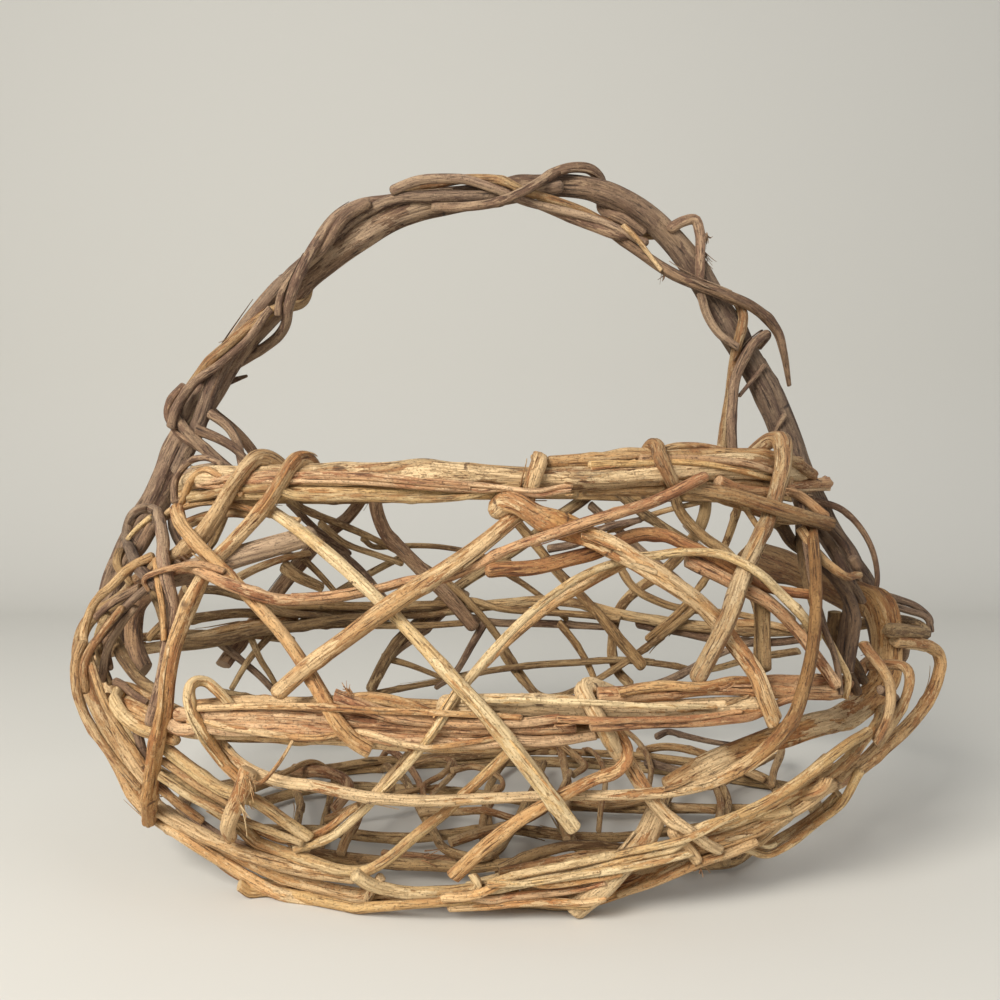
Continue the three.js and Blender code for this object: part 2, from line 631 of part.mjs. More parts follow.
// Floor: vines laid to and fro inside the base, off the table by a vine's thickness
const floorVines = {
  floor_runner_1: {
    bark: "dark", diameter: weaverDiameter,
    pixelsAndShares: [
      [262, 800, floor, 0.9], [300, 790, floor, 0.9], [380, 785, floor, 1],
      [470, 790, floor, 1.1], [540, 800, floor, 1], [600, 806, floor, 1],
      [660, 808, floor, 1], [720, 808, floor, 1], [758, 806, floor, 1.1],
      [778, 792, floor, 1.3], [764, 774, floor, 1.5], [730, 762, floor, 1.6],
      [690, 756, floor, 1.6], [640, 751, floor, 1.6], [590, 749, floor, 1.5],
      [530, 750, floor, 1.5], [470, 752, floor, 1.5], [400, 754, floor, 1.6],
      [340, 760, floor, 1.6], [290, 770, floor, 1.4], [246, 786, floor, 1.1],
    ],
  },
  floor_runner_2: {
    bark: "dark", diameter: weaverDiameter,
    pixelsAndShares: [
      [240, 832, floor, 0.9], [310, 832, floor, 0.9], [400, 838, floor, 1],
      [500, 828, floor, 1.1], [600, 836, floor, 1], [680, 828, floor, 1],
      [730, 824, floor, 0.9], [756, 832, floor, 1.1], [744, 848, floor, 1.3],
      [700, 856, floor, 1.2], [650, 856, floor, 1.2], [600, 862, floor, 1.2],
      [540, 862, floor, 1.3], [480, 868, floor, 1.3], [420, 866, floor, 1.2],
      [360, 864, floor, 1.1], [304, 858, floor, 1],
    ],
  },
  floor_weave_1: {
    bark: "dark", diameter: strandDiameter,
    pixelsAndShares: [
      [232, 812, floor, 1.5], [250, 784, floor, 1.6], [276, 776, floor, 1.5],
      [296, 800, floor, 1.6], [292, 846, floor, 1.6], [302, 868, floor, 1.2],
      [315, 846, floor, 0.5], [324, 812, floor, 0.2], [344, 772, floor, 0.3],
      [372, 756, floor, 1.3], [398, 770, floor, 1.8], [424, 820, floor, 1.8],
      [452, 858, floor, 1.7], [482, 862, floor, 1.7], [512, 830, floor, 1.8],
      [530, 790, floor, 1.7], [546, 758, floor, 1.5],
    ],
  },
  floor_weave_2: {
    bark: "dark", diameter: strandDiameter,
    pixelsAndShares: [
      [500, 884, floor, 1.4], [484, 840, floor, 0.4], [484, 790, floor, 0.3],
      [508, 757, floor, 1.3], [542, 772, floor, 2.1], [562, 812, floor, 1.9],
      [590, 846, floor, 1.8], [632, 852, floor, 1.6], [660, 816, floor, 1.7],
      [682, 776, floor, 1.8], [704, 768, floor, 2.1], [722, 792, floor, 1.8],
      [716, 834, floor, 1.7], [724, 856, floor, 1.6],
    ],
  },
};

const vines = {
  ...handleVines, ...rimVines, ...frontVines, ...bellyVines,
  ...baseVines, ...backVines, ...floorVines,
};

// Half length and half depth of the wall at a height, with an offset out of the wall
function wallAt(height, out) {
  const heightShare = THREE.MathUtils.clamp(
    height / rimHeight, wallShares[0][0], wallShares[wallShares.length - 1][0]);
  let level = 0;
  while (wallShares[level + 1][0] < heightShare) level += 1;
  const [low, lowLength, lowDepth] = wallShares[level];
  const [high, highLength, highDepth] = wallShares[level + 1];
  const blend = THREE.MathUtils.smoothstep(heightShare, low, high);
  return {
    halfLength: THREE.MathUtils.lerp(lowLength, highLength, blend) * basketLength / 2
      - hoopDiameter / 2 + out,
    halfDepth: THREE.MathUtils.lerp(lowDepth, highDepth, blend) * basketDepth / 2
      - hoopDiameter / 2 + out,
  };
}

// The point at depth y on the line of sight through a pixel
function alongSight(pixelX, pixelY, y) {
  const reach = 1 + y / (viewDistanceShare * basketDepth);
  const down = pixelY * pixelShare - horizonShare;
  const drop = down > 0
    ? down / rimHeightShare * rimHeight
    : down / handleRiseShare * handleRise;
  const across = pixelX * pixelShare - middleShare;
  const x = across / halfLengthShare * (basketLength / 2) * reach;
  return new THREE.Vector3(x, y, rimHeight - drop * reach);
}

// How far a point lies out of the wall's oval, less than zero inside it
function outOfWall(point, out) {
  const { halfLength, halfDepth } = wallAt(point.z, out);
  return Math.abs(point.x / halfLength) ** planExponentShare
    + Math.abs(point.y / halfDepth) ** planExponentShare - 1;
}

// The place on the front or back wall that is seen at a pixel, found by walking along
// the line of sight, or the place where the sight passes closest to the wall's end
function onWall(pixelX, pixelY, side, out) {
  const start = side * (basketDepth / 2 + out);
  let best = null;
  for (let step = 0; step <= sightSteps; step += 1) {
    const point = alongSight(pixelX, pixelY, start * (1 - step / sightSteps));
    const miss = outOfWall(point, out);
    if (best === null || miss < best.miss) best = { miss, point };
    if (miss <= 0) return point;
  }
  return best.point;
}

// A place of a route as a point in the basket's frame
function placePoint([pixelX, pixelY, surface, share]) {
  if (surface === front) return onWall(pixelX, pixelY, -1, share * layerStep);
  if (surface === back) return onWall(pixelX, pixelY, 1, share * layerStep);
  if (surface === middle) return alongSight(pixelX, pixelY, share * layerStep);
  if (surface === deep) return alongSight(pixelX, pixelY, share * basketDepth / 2);
  const eye = alongSight(pixelX, pixelY, 0);
  const dropAtMiddle = rimHeight - eye.z;
  const height = share * layerStep;
  const y = ((rimHeight - height) / dropAtMiddle - 1) * viewDistanceShare * basketDepth;
  return alongSight(pixelX, pixelY, y);
}

// Ring centres along a route: close together where it bends, wide apart where it is
// straight
function ringCentres(route) {
  const curve = new THREE.CatmullRomCurve3(route.map(placePoint), false, "centripetal");
  const samples = curve.getSpacedPoints(Math.ceil(curve.getLength() / sampleStep));
  const centres = [samples[0]];
  let travelled = 0;
  let bend = 0;
  for (let i = 1; i < samples.length - 1; i += 1) {
    const before = samples[i].clone().sub(samples[i - 1]);
    const after = samples[i + 1].clone().sub(samples[i]);
    travelled += before.length();
    bend += before.angleTo(after);
    const due = travelled / longestRing + bend / bendPerRing >= 1;
    if (due && travelled >= shortestRing) {
      centres.push(samples[i]);
      travelled = 0;
      bend = 0;
    }
  }
  if (travelled < shortestRing && centres.length > 2) centres.pop();
  centres.push(samples[samples.length - 1]);
  return centres;
}

// Thickness of a vine along its length: a slow swelling, a knot here and there, a taper
// towards its tip where it has one, and ends that narrow a little
function ringRadii(centres, { diameter, tipShare = 1 }, order) {
  const coreShare = 0.9;
  const swellShare = 0.05;
  const knotShare = 0.1;
  const endShare = 0.82;
  const swellReachShare = 5;
  const knotReachShare = 3;
  const knotSharpness = 6;
  const phaseStep = 1.7;
  const swellLength = swellReachShare * diameter;
  const knotLength = knotReachShare * diameter;
  const phase = order * phaseStep;
  const travelled = [0];
  for (let i = 1; i < centres.length; i += 1) {
    travelled.push(travelled[i - 1] + centres[i].distanceTo(centres[i - 1]));
  }
  const whole = travelled[travelled.length - 1];
  return travelled.map((length, i) => {
    const swell = swellShare * Math.sin(length / swellLength + phase);
    const lump = Math.max(0, Math.sin(length / knotLength + 2 * phase)) ** knotSharpness;
    const taper = THREE.MathUtils.lerp(1, tipShare, length / whole);
    const isEnd = i === 0 || i === centres.length - 1;
    const share = (coreShare + swell + knotShare * lump) * taper * (isEnd ? endShare : 1);
    return diameter / 2 * share;
  });
}

// Closest points of two segments, as shares of the way along each
function closestShares(a, b, c, d) {
  const u = b.clone().sub(a);
  const v = d.clone().sub(c);
  const w = a.clone().sub(c);
  const uu = u.dot(u);
  const uv = u.dot(v);
  const vv = v.dot(v);
  const uw = u.dot(w);
  const vw = v.dot(w);
  const spread = uu * vv - uv * uv;
  const clamp = THREE.MathUtils.clamp;
  let s = spread > hair ? clamp((uv * vw - vv * uw) / spread, 0, 1) : 0.5;
  let t = (uv * s + vw) / vv;
  if (t < 0 || t > 1) {
    t = clamp(t, 0, 1);
    s = clamp((uv * t - uw) / uu, 0, 1);
  }
  return [s, t];
}

// Every run between two rings of a vine, with the length travelled to it
function runsOf(vine) {
  let travelled = 0;
  return vine.centres.slice(1).map((centre, i) => {
    const length = centre.distanceTo(vine.centres[i]);
    travelled += length;
    return { vine, first: i, travelled, length };
  });
}

// Pairs of runs that are near enough to touch
function nearPairs(runs) {
  const margin = gripReach * 2;
  const boxes = runs.map(({ vine, first }) => {
    const box = new THREE.Box3().setFromPoints([vine.centres[first], vine.centres[first + 1]]);
    const radius = Math.max(vine.radii[first], vine.radii[first + 1]);
    return box.expandByScalar(radius + margin / 2);
  });
  const pairs = [];
  for (let i = 0; i < runs.length; i += 1) {
    for (let j = i + 1; j < runs.length; j += 1) {
      if (!boxes[i].intersectsBox(boxes[j])) continue;
      const between = runs[j].travelled - runs[j].length - runs[i].travelled;
      const sameBend = runs[i].vine === runs[j].vine
        && between < bendReachShare * runs[i].vine.diameter;
      if (!sameBend) pairs.push([runs[i], runs[j]]);
    }
  }
  return pairs;
}

// Distance between two runs and what it should at least be
function measurePair(one, two) {
  const a = one.vine.centres[one.first];
  const b = one.vine.centres[one.first + 1];
  const c = two.vine.centres[two.first];
  const d = two.vine.centres[two.first + 1];
  const [s, t] = closestShares(a, b, c, d);
  const between = c.clone().lerp(d, t).sub(a.clone().lerp(b, s));
  const { lerp } = THREE.MathUtils;
  const needed = lerp(one.vine.radii[one.first], one.vine.radii[one.first + 1], s)
    + lerp(two.vine.radii[two.first], two.vine.radii[two.first + 1], t) + vineClearance;
  return { s, t, between, distance: between.length(), needed };
}

// Moves a point of a run by moving the two rings that carry it
function shiftRun(run, share, move) {
  const weight = (1 - share) ** 2 + share ** 2;
  run.vine.centres[run.first].addScaledVector(move, (1 - share) / weight);
  run.vine.centres[run.first + 1].addScaledVector(move, share / weight);
}

// Presses vines that overlap apart and draws vines that nearly touch together
function pressPairs(pairs, grip) {
  let worst = 0;
  for (const [one, two] of pairs) {
    const { s, t, between, distance, needed } = measurePair(one, two);
    const lack = needed - distance;
    if (lack < -gripReach || (lack < 0 && grip === 0)) continue;
    worst = Math.max(worst, lack);
    const push = lack > 0 ? lack : lack * grip;
    const heavy = one.vine.diameter ** 2 / (one.vine.diameter ** 2 + two.vine.diameter ** 2);
    const direction = between.divideScalar(Math.max(distance, hair));
    shiftRun(one, s, direction.clone().multiplyScalar(-push * (1 - heavy)));
    shiftRun(two, t, direction.clone().multiplyScalar(push * heavy));
  }
  return worst;
}

// Spreads each push along its vine, so that a vine bends in a curve and not in a kink
function spreadPushes(vine) {
  const pushes = vine.centres.map((centre, i) => centre.clone().sub(vine.start[i]));
  vine.centres.forEach((centre, i) => {
    const before = pushes[Math.max(i - 1, 0)];
    const after = pushes[Math.min(i + 1, pushes.length - 1)];
    const mean = before.clone().add(after).multiplyScalar(0.5);
    centre.addScaledVector(mean.sub(pushes[i]), spreadShare);
  });
}

// Lets the low stretches of a vine that the basket stands on sink towards the table
function sinkToTable(vine) {
  vine.centres.forEach((centre, i) => {
    const resting = vine.radii[i] - flatDepth;
    if (centre.z - resting < sinkReach) {
      centre.z = THREE.MathUtils.lerp(centre.z, resting, sinkShare);
    }
  });
}

// Keeps a vine above the table, or sunk by no more than the flat that is pared from it
function keepOnTable(vine) {
  vine.centres.forEach((centre, i) => {
    centre.z = Math.max(centre.z, vine.radii[i] - flatDepth);
  });
}

// Presses all vines apart until none overlaps
function settle(allVines) {
  let pairs = [];
  for (let sweep = 0; sweep < mostSweeps; sweep += 1) {
    if (sweep % pairSweeps === 0) pairs = nearPairs(allVines.flatMap(runsOf));
    const gripping = sweep < gripSweeps;
    const worst = pressPairs(pairs, gripping ? gripShare : 0);
    if (gripping) allVines.forEach(spreadPushes);
    if (gripping) allVines.filter((vine) => vine.standsOnTable).forEach(sinkToTable);
    allVines.forEach(keepOnTable);
    if (!gripping && worst < doneLack && sweep % pairSweeps > 0) break;
  }
}

// Skins a vine with rings of vertices square to its run, closed by a fan at each end
function vineGeometry(centres, radii) {
  const widest = Math.max(...radii) * 2;
  let sides = 7;
  if (widest > strandDiameter) sides = 8;
  if (widest > hoopDiameter) sides = 10;
  const last = centres.length - 1;
  const directions = centres.map((centre, i) => {
    const before = centres[Math.max(i - 1, 0)];
    const after = centres[Math.min(i + 1, last)];
    return after.clone().sub(before).normalize();
  });
  const positions = [];
  const up = new THREE.Vector3(0, 0, 1);
  const across = new THREE.Vector3().crossVectors(directions[0], up).normalize();
  centres.forEach((centre, i) => {
    across.addScaledVector(directions[i], -across.dot(directions[i])).normalize();
    const upright = new THREE.Vector3().crossVectors(directions[i], across);
    for (let side = 0; side < sides; side += 1) {
      const angle = 2 * Math.PI * (side + 0.5) / sides;
      const point = centre.clone()
        .addScaledVector(across, radii[i] * Math.cos(angle))
        .addScaledVector(upright, radii[i] * Math.sin(angle));
      positions.push(point.x, point.y, point.z);
    }
  });
  const indices = [];
  for (let i = 0; i < last; i += 1) {
    for (let side = 0; side < sides; side += 1) {
      const next = (side + 1) % sides;
      const a = i * sides + side;
      const b = i * sides + next;
      const c = a + sides;
      const d = b + sides;
      indices.push(a, b, d, a, d, c);
    }
  }
  for (let side = 1; side < sides - 1; side += 1) {
    const end = last * sides;
    indices.push(0, side + 1, side);
    indices.push(end, end + side, end + side + 1);
  }
  const geometry = new THREE.BufferGeometry();
  geometry.setAttribute("position", new THREE.Float32BufferAttribute(positions, 3));
  geometry.setIndex(indices);
  return geometry;
}

// A closed geometry as a solid that can be cut
function toSolid(geometry) {
  const bare = geometry.clone();
  bare.deleteAttribute("normal");
  bare.deleteAttribute("uv");
  const merged = mergeVertices(bare);
  return new wasm.Manifold(new wasm.Mesh({
    numProp: 3,
    vertProperties: new Float32Array(merged.attributes.position.array),
    triVerts: new Uint32Array(merged.index.array),
  }));
}

// A cut solid as a geometry again
function toGeometry(solid) {
  const { vertProperties, triVerts } = solid.getMesh();
  const geometry = new THREE.BufferGeometry();
  geometry.setAttribute("position", new THREE.BufferAttribute(vertProperties, 3));
  geometry.setIndex(new THREE.BufferAttribute(triVerts, 1));
  return geometry;
}

// The table as a slab, which pares a flat on each vine that the basket stands on
const tableGeometry = new THREE.BoxGeometry(2 * basketLength, 2 * basketDepth, rimHeight);
tableGeometry.translate(0, 0, -rimHeight / 2);
const table = toSolid(tableGeometry);

function pareOnTable(geometry) {
  geometry.computeBoundingBox();
  if (geometry.boundingBox.min.z >= 0) return geometry;
  return toGeometry(toSolid(geometry).subtract(table));
}

// The basket
const laid = Object.entries(vines).map(([name, vine], order) => {
  const centres = ringCentres(vine.pixelsAndShares);
  const radii = ringRadii(centres, vine, order);
  const start = centres.map((centre) => centre.clone());
  return { ...vine, name, centres, radii, start };
});
settle(laid);

const basket = new THREE.Group();
basket.name = "grapevine_basket";
for (const { name, bark, centres, radii } of laid) {
  const geometry = pareOnTable(vineGeometry(centres, radii));
  geometry.computeVertexNormals();
  const mesh = new THREE.Mesh(geometry, new THREE.MeshStandardMaterial({
    ...barks[bark], metalness: 0,
  }));
  mesh.name = name;
  basket.add(mesh);
}

// The origin is moved under the middle of the basket's outline
const bounds = new THREE.Box3().setFromObject(basket);
const centre = bounds.getCenter(new THREE.Vector3());
for (const mesh of basket.children) mesh.geometry.translate(-centre.x, -centre.y, -bounds.min.z);

export default basket;
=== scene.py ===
# %% [markdown]
# # A basket of hooked and woven grapevine
# The basket is made of nothing but vines: each one is bent while green, hooked round its
# neighbours, and holds by its own tension once it dries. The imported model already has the
# route and the thickness of the sixty vines that carry the basket. This lesson dresses
# them in bark and adds the thin strands, bark strips and frayed fibres between them.

import json
import math

import bpy
import numpy as np
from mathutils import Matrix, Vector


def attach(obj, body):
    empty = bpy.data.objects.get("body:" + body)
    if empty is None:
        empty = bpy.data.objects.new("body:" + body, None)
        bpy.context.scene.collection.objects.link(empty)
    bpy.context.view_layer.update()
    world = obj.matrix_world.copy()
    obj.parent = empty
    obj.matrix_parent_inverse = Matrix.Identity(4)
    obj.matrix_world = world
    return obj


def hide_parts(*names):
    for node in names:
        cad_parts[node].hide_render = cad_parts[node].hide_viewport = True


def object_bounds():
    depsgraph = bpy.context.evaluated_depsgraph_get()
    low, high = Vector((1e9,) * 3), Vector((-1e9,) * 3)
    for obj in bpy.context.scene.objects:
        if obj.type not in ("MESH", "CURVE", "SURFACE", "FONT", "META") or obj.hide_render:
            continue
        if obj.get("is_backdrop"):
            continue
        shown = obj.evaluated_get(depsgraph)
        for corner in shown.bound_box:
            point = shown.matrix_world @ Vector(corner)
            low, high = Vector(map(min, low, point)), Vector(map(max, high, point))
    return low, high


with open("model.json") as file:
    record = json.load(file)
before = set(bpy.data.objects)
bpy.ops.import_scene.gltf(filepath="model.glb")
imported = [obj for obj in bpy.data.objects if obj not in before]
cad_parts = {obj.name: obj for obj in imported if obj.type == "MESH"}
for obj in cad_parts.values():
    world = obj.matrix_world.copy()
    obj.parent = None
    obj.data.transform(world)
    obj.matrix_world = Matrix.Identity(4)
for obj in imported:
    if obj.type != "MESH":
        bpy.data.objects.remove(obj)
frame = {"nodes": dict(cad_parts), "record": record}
for start_object in ("Cube", "Light", "Camera"):
    if start_object in bpy.data.objects:
        bpy.data.objects.remove(bpy.data.objects[start_object])
cad_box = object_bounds()
millimetre = 0.001
print("CAD box, mm:", [[round(x / millimetre, 1) for x in corner] for corner in cad_box])

# %% [markdown]
# ## Shader maths as Python
# A material is a net of nodes. Wiring each node by hand hides the sum that it makes, so a
# small class wraps one output of a node, and the usual signs add the Math nodes. Every
# other node comes from one method, which takes its kind, its settings and its inputs.

# %% Signals and finishes
class Signal:
    """One output of a shader node, which can be added, taken away and multiplied."""

    def __init__(self, finish, socket):
        self.finish = finish
        self.socket = socket

    def __add__(self, other):
        return self.finish.maths("ADD", self, other)

    def __sub__(self, other):
        return self.finish.maths("SUBTRACT", self, other)

    def __rsub__(self, other):
        return self.finish.maths("SUBTRACT", other, self)

    def __mul__(self, other):
        return self.finish.maths("MULTIPLY", self, other)

    __radd__ = __add__
    __rmul__ = __mul__


class Finish:
    """One material and the nodes in it."""

    def __init__(self, name):
        self.material = bpy.data.materials.new(name)
        self.material.use_nodes = True
        self.tree = self.material.node_tree
        self.tree.nodes.clear()

    def node(self, kind, settings=None, inputs=None, output=0):
        """A node of this kind: its settings come first, then the value or link of each input."""
        made = self.tree.nodes.new(kind)
        for name, value in (settings or {}).items():
            setattr(made, name, value)
        for name, value in (inputs or {}).items():
            if isinstance(value, Signal):
                self.tree.links.new(value.socket, made.inputs[name])
            else:
                made.inputs[name].default_value = value
        if made.outputs:
            return Signal(self, made.outputs[output])

    def maths(self, operation, *values):
        """A Math node on one, two or three values."""
        return self.node("ShaderNodeMath", {"operation": operation}, dict(enumerate(values)))

    def scaled(self, vector, factors):
        """A vector with each of its parts times a factor."""
        inputs = {0: vector, 1: factors}
        return self.node("ShaderNodeVectorMath", {"operation": "MULTIPLY"}, inputs)

    def noise(self, vector, scale, detail, roughness):
        """Cloudy noise from 0 to 1 at a place."""
        inputs = {"Vector": vector, "Scale": scale, "Detail": detail, "Roughness": roughness}
        return self.node("ShaderNodeTexNoise", None, inputs)

    def step(self, value, low, high):
        """0 below low and 1 above high, with a smooth rise between them."""
        inputs = {"Value": value, "From Min": low, "From Max": high}
        return self.node("ShaderNodeMapRange", {"interpolation_type": "SMOOTHSTEP"}, inputs)

    def blend(self, factor, one, other, kind="MIX"):
        """A colour between one and the other, or one changed by the other as kind says."""
        settings = {"data_type": "RGBA", "blend_type": kind}
        return self.node("ShaderNodeMix", settings, {0: factor, 6: one, 7: other}, output=2)


def colour(red, green, blue):
    """A shader colour from the three numbers, 0 to 255, that a colour picker gives: the
    sRGB curve, which is straight near black and a power above."""
    parts = np.array([red, green, blue]) / 255
    linear = np.where(parts > 0.04045, ((parts + 0.055) / 1.055) ** 2.4, parts / 12.92)
    return (*linear.tolist(), 1.0)


print("white is", colour(255, 255, 255))

# %% [markdown]
# ## Bark
# Dry grapevine bark splits into long fibres and flakes off, so its colour runs in streaks
# along the vine, pale where a flake stands up and nearly black in the cracks. Where hands
# or other vines have rubbed it, the bark is gone and the smooth wood shows. Each mesh
# carries an attribute named grain, which is a point's place on its vine as if the vine lay
# straight along Z. Noise that is squeezed along Z on it gives streaks that follow every
# bend and never show a seam. The attribute marks holds how near a cut end and a knot the
# point is and how worn the vine is, and the attribute tint holds the vine's colour, which is
# partly a tone of its own and partly painted light and shade.

# %% Bark finishes
fibre_stretch = (1.0, 1.0, 0.045)
flake_stretch = (1.0, 1.0, 0.22)
band_stretch = (1.0, 1.0, 0.2)
across_only = (1.0, 1.0, 0.0)
bump_height = 0.6 * millimetre

# How many times each noise changes in a metre across the vine
fibre_pace = 1700.0
streak_pace = 520.0
flake_pace = 1000.0
band_pace = 190.0
patch_pace = 150.0
speck_pace = 1500.0
ring_pace = 9000.0


def bark_finish(name, furrow, body, ridge, wood, stain, bare_share, roughness):
    """Bark in streaks from body to ridge colour, stained in bands, with pale flakes and
    dark cracks, and worn to the wood where patch noise is above one less bare_share."""
    finish = Finish(name)
    grain = finish.node("ShaderNodeAttribute", {"attribute_name": "grain"}, output="Vector")
    marks = finish.node("ShaderNodeAttribute", {"attribute_name": "marks"}, output="Vector")
    tint = finish.node("ShaderNodeAttribute", {"attribute_name": "tint"}, output="Vector")
    cut, knot, worn = (
        finish.node("ShaderNodeSeparateXYZ", None, {0: marks}, output=i) for i in range(3))
    along_fibre = finish.scaled(grain, fibre_stretch)
    along_flake = finish.scaled(grain, flake_stretch)

    fibres = finish.noise(along_fibre, fibre_pace, 3.0, 0.6)
    streaks = finish.noise(along_fibre, streak_pace, 2.0, 0.5)
    flakes = finish.noise(along_flake, flake_pace, 5.0, 0.7)
    bands = finish.noise(finish.scaled(grain, band_stretch), band_pace, 4.0, 0.6)
    patches = finish.noise(along_flake, patch_pace, 4.0, 0.62)
    specks = finish.noise(grain, speck_pace, 3.0, 0.65)

    crack = finish.step(fibres, 0.42, 0.34)
    flake = finish.step(flakes, 0.52, 0.6)
    speck = finish.step(specks, 0.58, 0.64)
    bark = finish.blend(finish.step(streaks * 0.6 + fibres * 0.4, 0.38, 0.6), body, ridge)
    bark = finish.blend(finish.step(bands, 0.47, 0.6) * 0.75, bark, stain)
    bark = finish.blend(flake * 0.55, bark, wood)
    bark = finish.blend(finish.step(flakes, 0.43, 0.36) * 0.5, bark, furrow)
    bark = finish.blend(crack * 0.8, bark, furrow)
    # The tint multiplies the bark's colour: its brightness is partly the vine's own tone and partly
    # painted light and shade.
    bark = finish.blend(1.0, bark, tint, "MULTIPLY")
    bare = finish.step(patches + flakes * 0.25 + worn * 0.3, 1.12 - bare_share,
                       1.14 - bare_share)
    rubbed = finish.blend(
        finish.step(fibres, 0.35, 0.6) * 0.5 + worn * 0.5 + 0.2, body, wood)
    rubbed = finish.blend(finish.step(worn, 0.5, 0.0), rubbed, tint, "MULTIPLY")
    skin = finish.blend(bare, bark, rubbed)
    skin = finish.blend(speck * 0.55, skin, furrow)
    ringed = finish.step(knot * 0.8 + flakes * 0.9, 0.94, 1.22)
    skin = finish.blend(ringed * 0.85, skin, furrow)
    middle = finish.node("ShaderNodeVectorMath", {"operation": "LENGTH"},
                         {0: finish.scaled(grain, across_only)}, output="Value")
    rings = finish.maths("SINE", middle * ring_pace)
    skin = finish.blend(cut, skin, finish.blend(rings * 0.2 + 0.4, wood, body))

    height = (fibres * 0.8 + streaks * 0.4 + flake * 0.3 - crack * 0.5 - bare * 0.2
              - speck * 0.3 - ringed * 0.4)
    bump = finish.node("ShaderNodeBump", None,
                       {"Strength": 0.9, "Distance": bump_height, "Height": height})
    shader = finish.node("ShaderNodeBsdfPrincipled", None, {
        "Base Color": skin, "Roughness": fibres * 0.25 + (roughness - 0.12), "Normal": bump})
    finish.node("ShaderNodeOutputMaterial", None, {"Surface": shader})
    return finish.material


bark_finishes = {
    "taupe_bark": bark_finish(
        "taupe bark", furrow=colour(46, 34, 27), body=colour(117, 92, 73),
        ridge=colour(146, 121, 98), wood=colour(178, 151, 121),
        stain=colour(92, 66, 52), bare_share=0.4, roughness=0.84),
    "tan_bark": bark_finish(
        "tan bark", furrow=colour(74, 45, 24), body=colour(170, 129, 82),
        ridge=colour(195, 160, 113), wood=colour(222, 193, 148),
        stain=colour(146, 96, 54), bare_share=0.42, roughness=0.76),
    "straw_bark": bark_finish(
        "straw bark", furrow=colour(98, 68, 38), body=colour(183, 146, 96),
        ridge=colour(204, 174, 123), wood=colour(226, 201, 155),
        stain=colour(162, 114, 66), bare_share=0.42, roughness=0.7),
    "red_bark": bark_finish(
        "red bark", furrow=colour(66, 38, 24), body=colour(160, 116, 79),
        ridge=colour(192, 152, 110), wood=colour(216, 182, 140),
        stain=colour(132, 82, 50), bare_share=0.4, roughness=0.76),
    "dark_bark": bark_finish(
        "dark bark", furrow=colour(54, 39, 25), body=colour(140, 111, 75),
        ridge=colour(172, 143, 101), wood=colour(196, 168, 124),
        stain=colour(98, 70, 44), bare_share=0.38, roughness=0.86),
}
print("finishes:", ", ".join(bark_finishes))

# %% [markdown]
# ## Reading a vine back from its solid
# A CAD vine is a faceted tube: rings of corners, one after another, between two flat ends.
# The steps over edges from the first ring number all the others, and the middle of each
# ring is a point of the vine's run. The first ring is found at the corner that lies the
# most steps away from any other, where a flat end shares one plane.

# %% Corners, edges and steps
weld_size = 1e-7


def solid_corners(node):
    """Corners of a solid, each once, its triangles and the edges between the corners."""
    mesh = frame["nodes"][node].data
    loose = np.empty(len(mesh.vertices) * 3)
    mesh.vertices.foreach_get("co", loose)
    order = np.empty(len(mesh.loops), dtype=int)
    mesh.loops.foreach_get("vertex_index", order)
    welded, which = np.unique(
        np.round(loose.reshape(-1, 3) / weld_size), axis=0, return_inverse=True)
    triangles = which.reshape(-1)[order].reshape(-1, 3)
    edges = np.concatenate([triangles[:, [0, 1]], triangles[:, [1, 2]], triangles[:, [2, 0]]])
    return welded * weld_size, triangles, np.unique(np.sort(edges, axis=1), axis=0)


def steps_from(first, edges, count):
    """How many edges lie between each corner and the nearest of the first ones."""
    steps = np.full(count, -1)
    steps[first] = 0
    fresh = np.atleast_1d(first)
    while len(fresh):
        touching = np.isin(edges, fresh).any(axis=1)
        near = np.unique(edges[touching])
        nearest = steps[fresh].max()
        fresh = near[steps[near] < 0]
        steps[fresh] = nearest + 1
    return steps


bow_corners, _, bow_edges = solid_corners("handle_bow")
print("handle bow:", len(bow_corners), "corners,", len(bow_edges), "edges")

# %% Runs of the CAD vines
flat_cosine = 0.999999
same_plane = 0.001 * millimetre
flattest_share = 1e-3
widest_ring_share = 1.5
tip_steps = 4
least_corners = 4


def end_ring(corners, triangles, edges):
    """The corners of one flat end: the most triangles in one plane, near the corner that
    lies the most steps away."""
    far = steps_from(0, edges, len(corners)).argmax()
    steps = steps_from(far, edges, len(corners))
    a, b, c = (corners[triangles[:, i]] for i in range(3))
    normals = np.cross(b - a, c - a)
    normals /= np.linalg.norm(normals, axis=1)[:, None]
    at_tip = (steps[triangles] <= tip_steps).all(axis=1)
    off_table = corners[triangles][:, :, 2].max(axis=1) > weld_size
    normals[~(at_tip & off_table)] = 0
    offsets = (normals * a).sum(axis=1)
    level = np.abs(normals @ a.T - offsets[:, None]) < same_plane
    alike = level & (normals @ normals.T > flat_cosine)
    lid = alike.sum(axis=1).argmax()
    return np.unique(triangles[alike[lid]])


def circle_through(places):
    """Middle and radius of the circle nearest to some corners of one ring: the point whose
    distances to them differ least, by least squares. The ring is flat, so a direction in
    which it hardly reaches out is left out of the sum."""
    mean = places.mean(axis=0)
    from_mean = places - mean
    squares = (from_mean ** 2).sum(axis=1)
    answer = np.linalg.lstsq(2 * from_mean, squares - squares.mean(),
                             rcond=flattest_share)[0]
    radius = np.linalg.norm(from_mean - answer, axis=1).mean()
    return mean + answer, radius


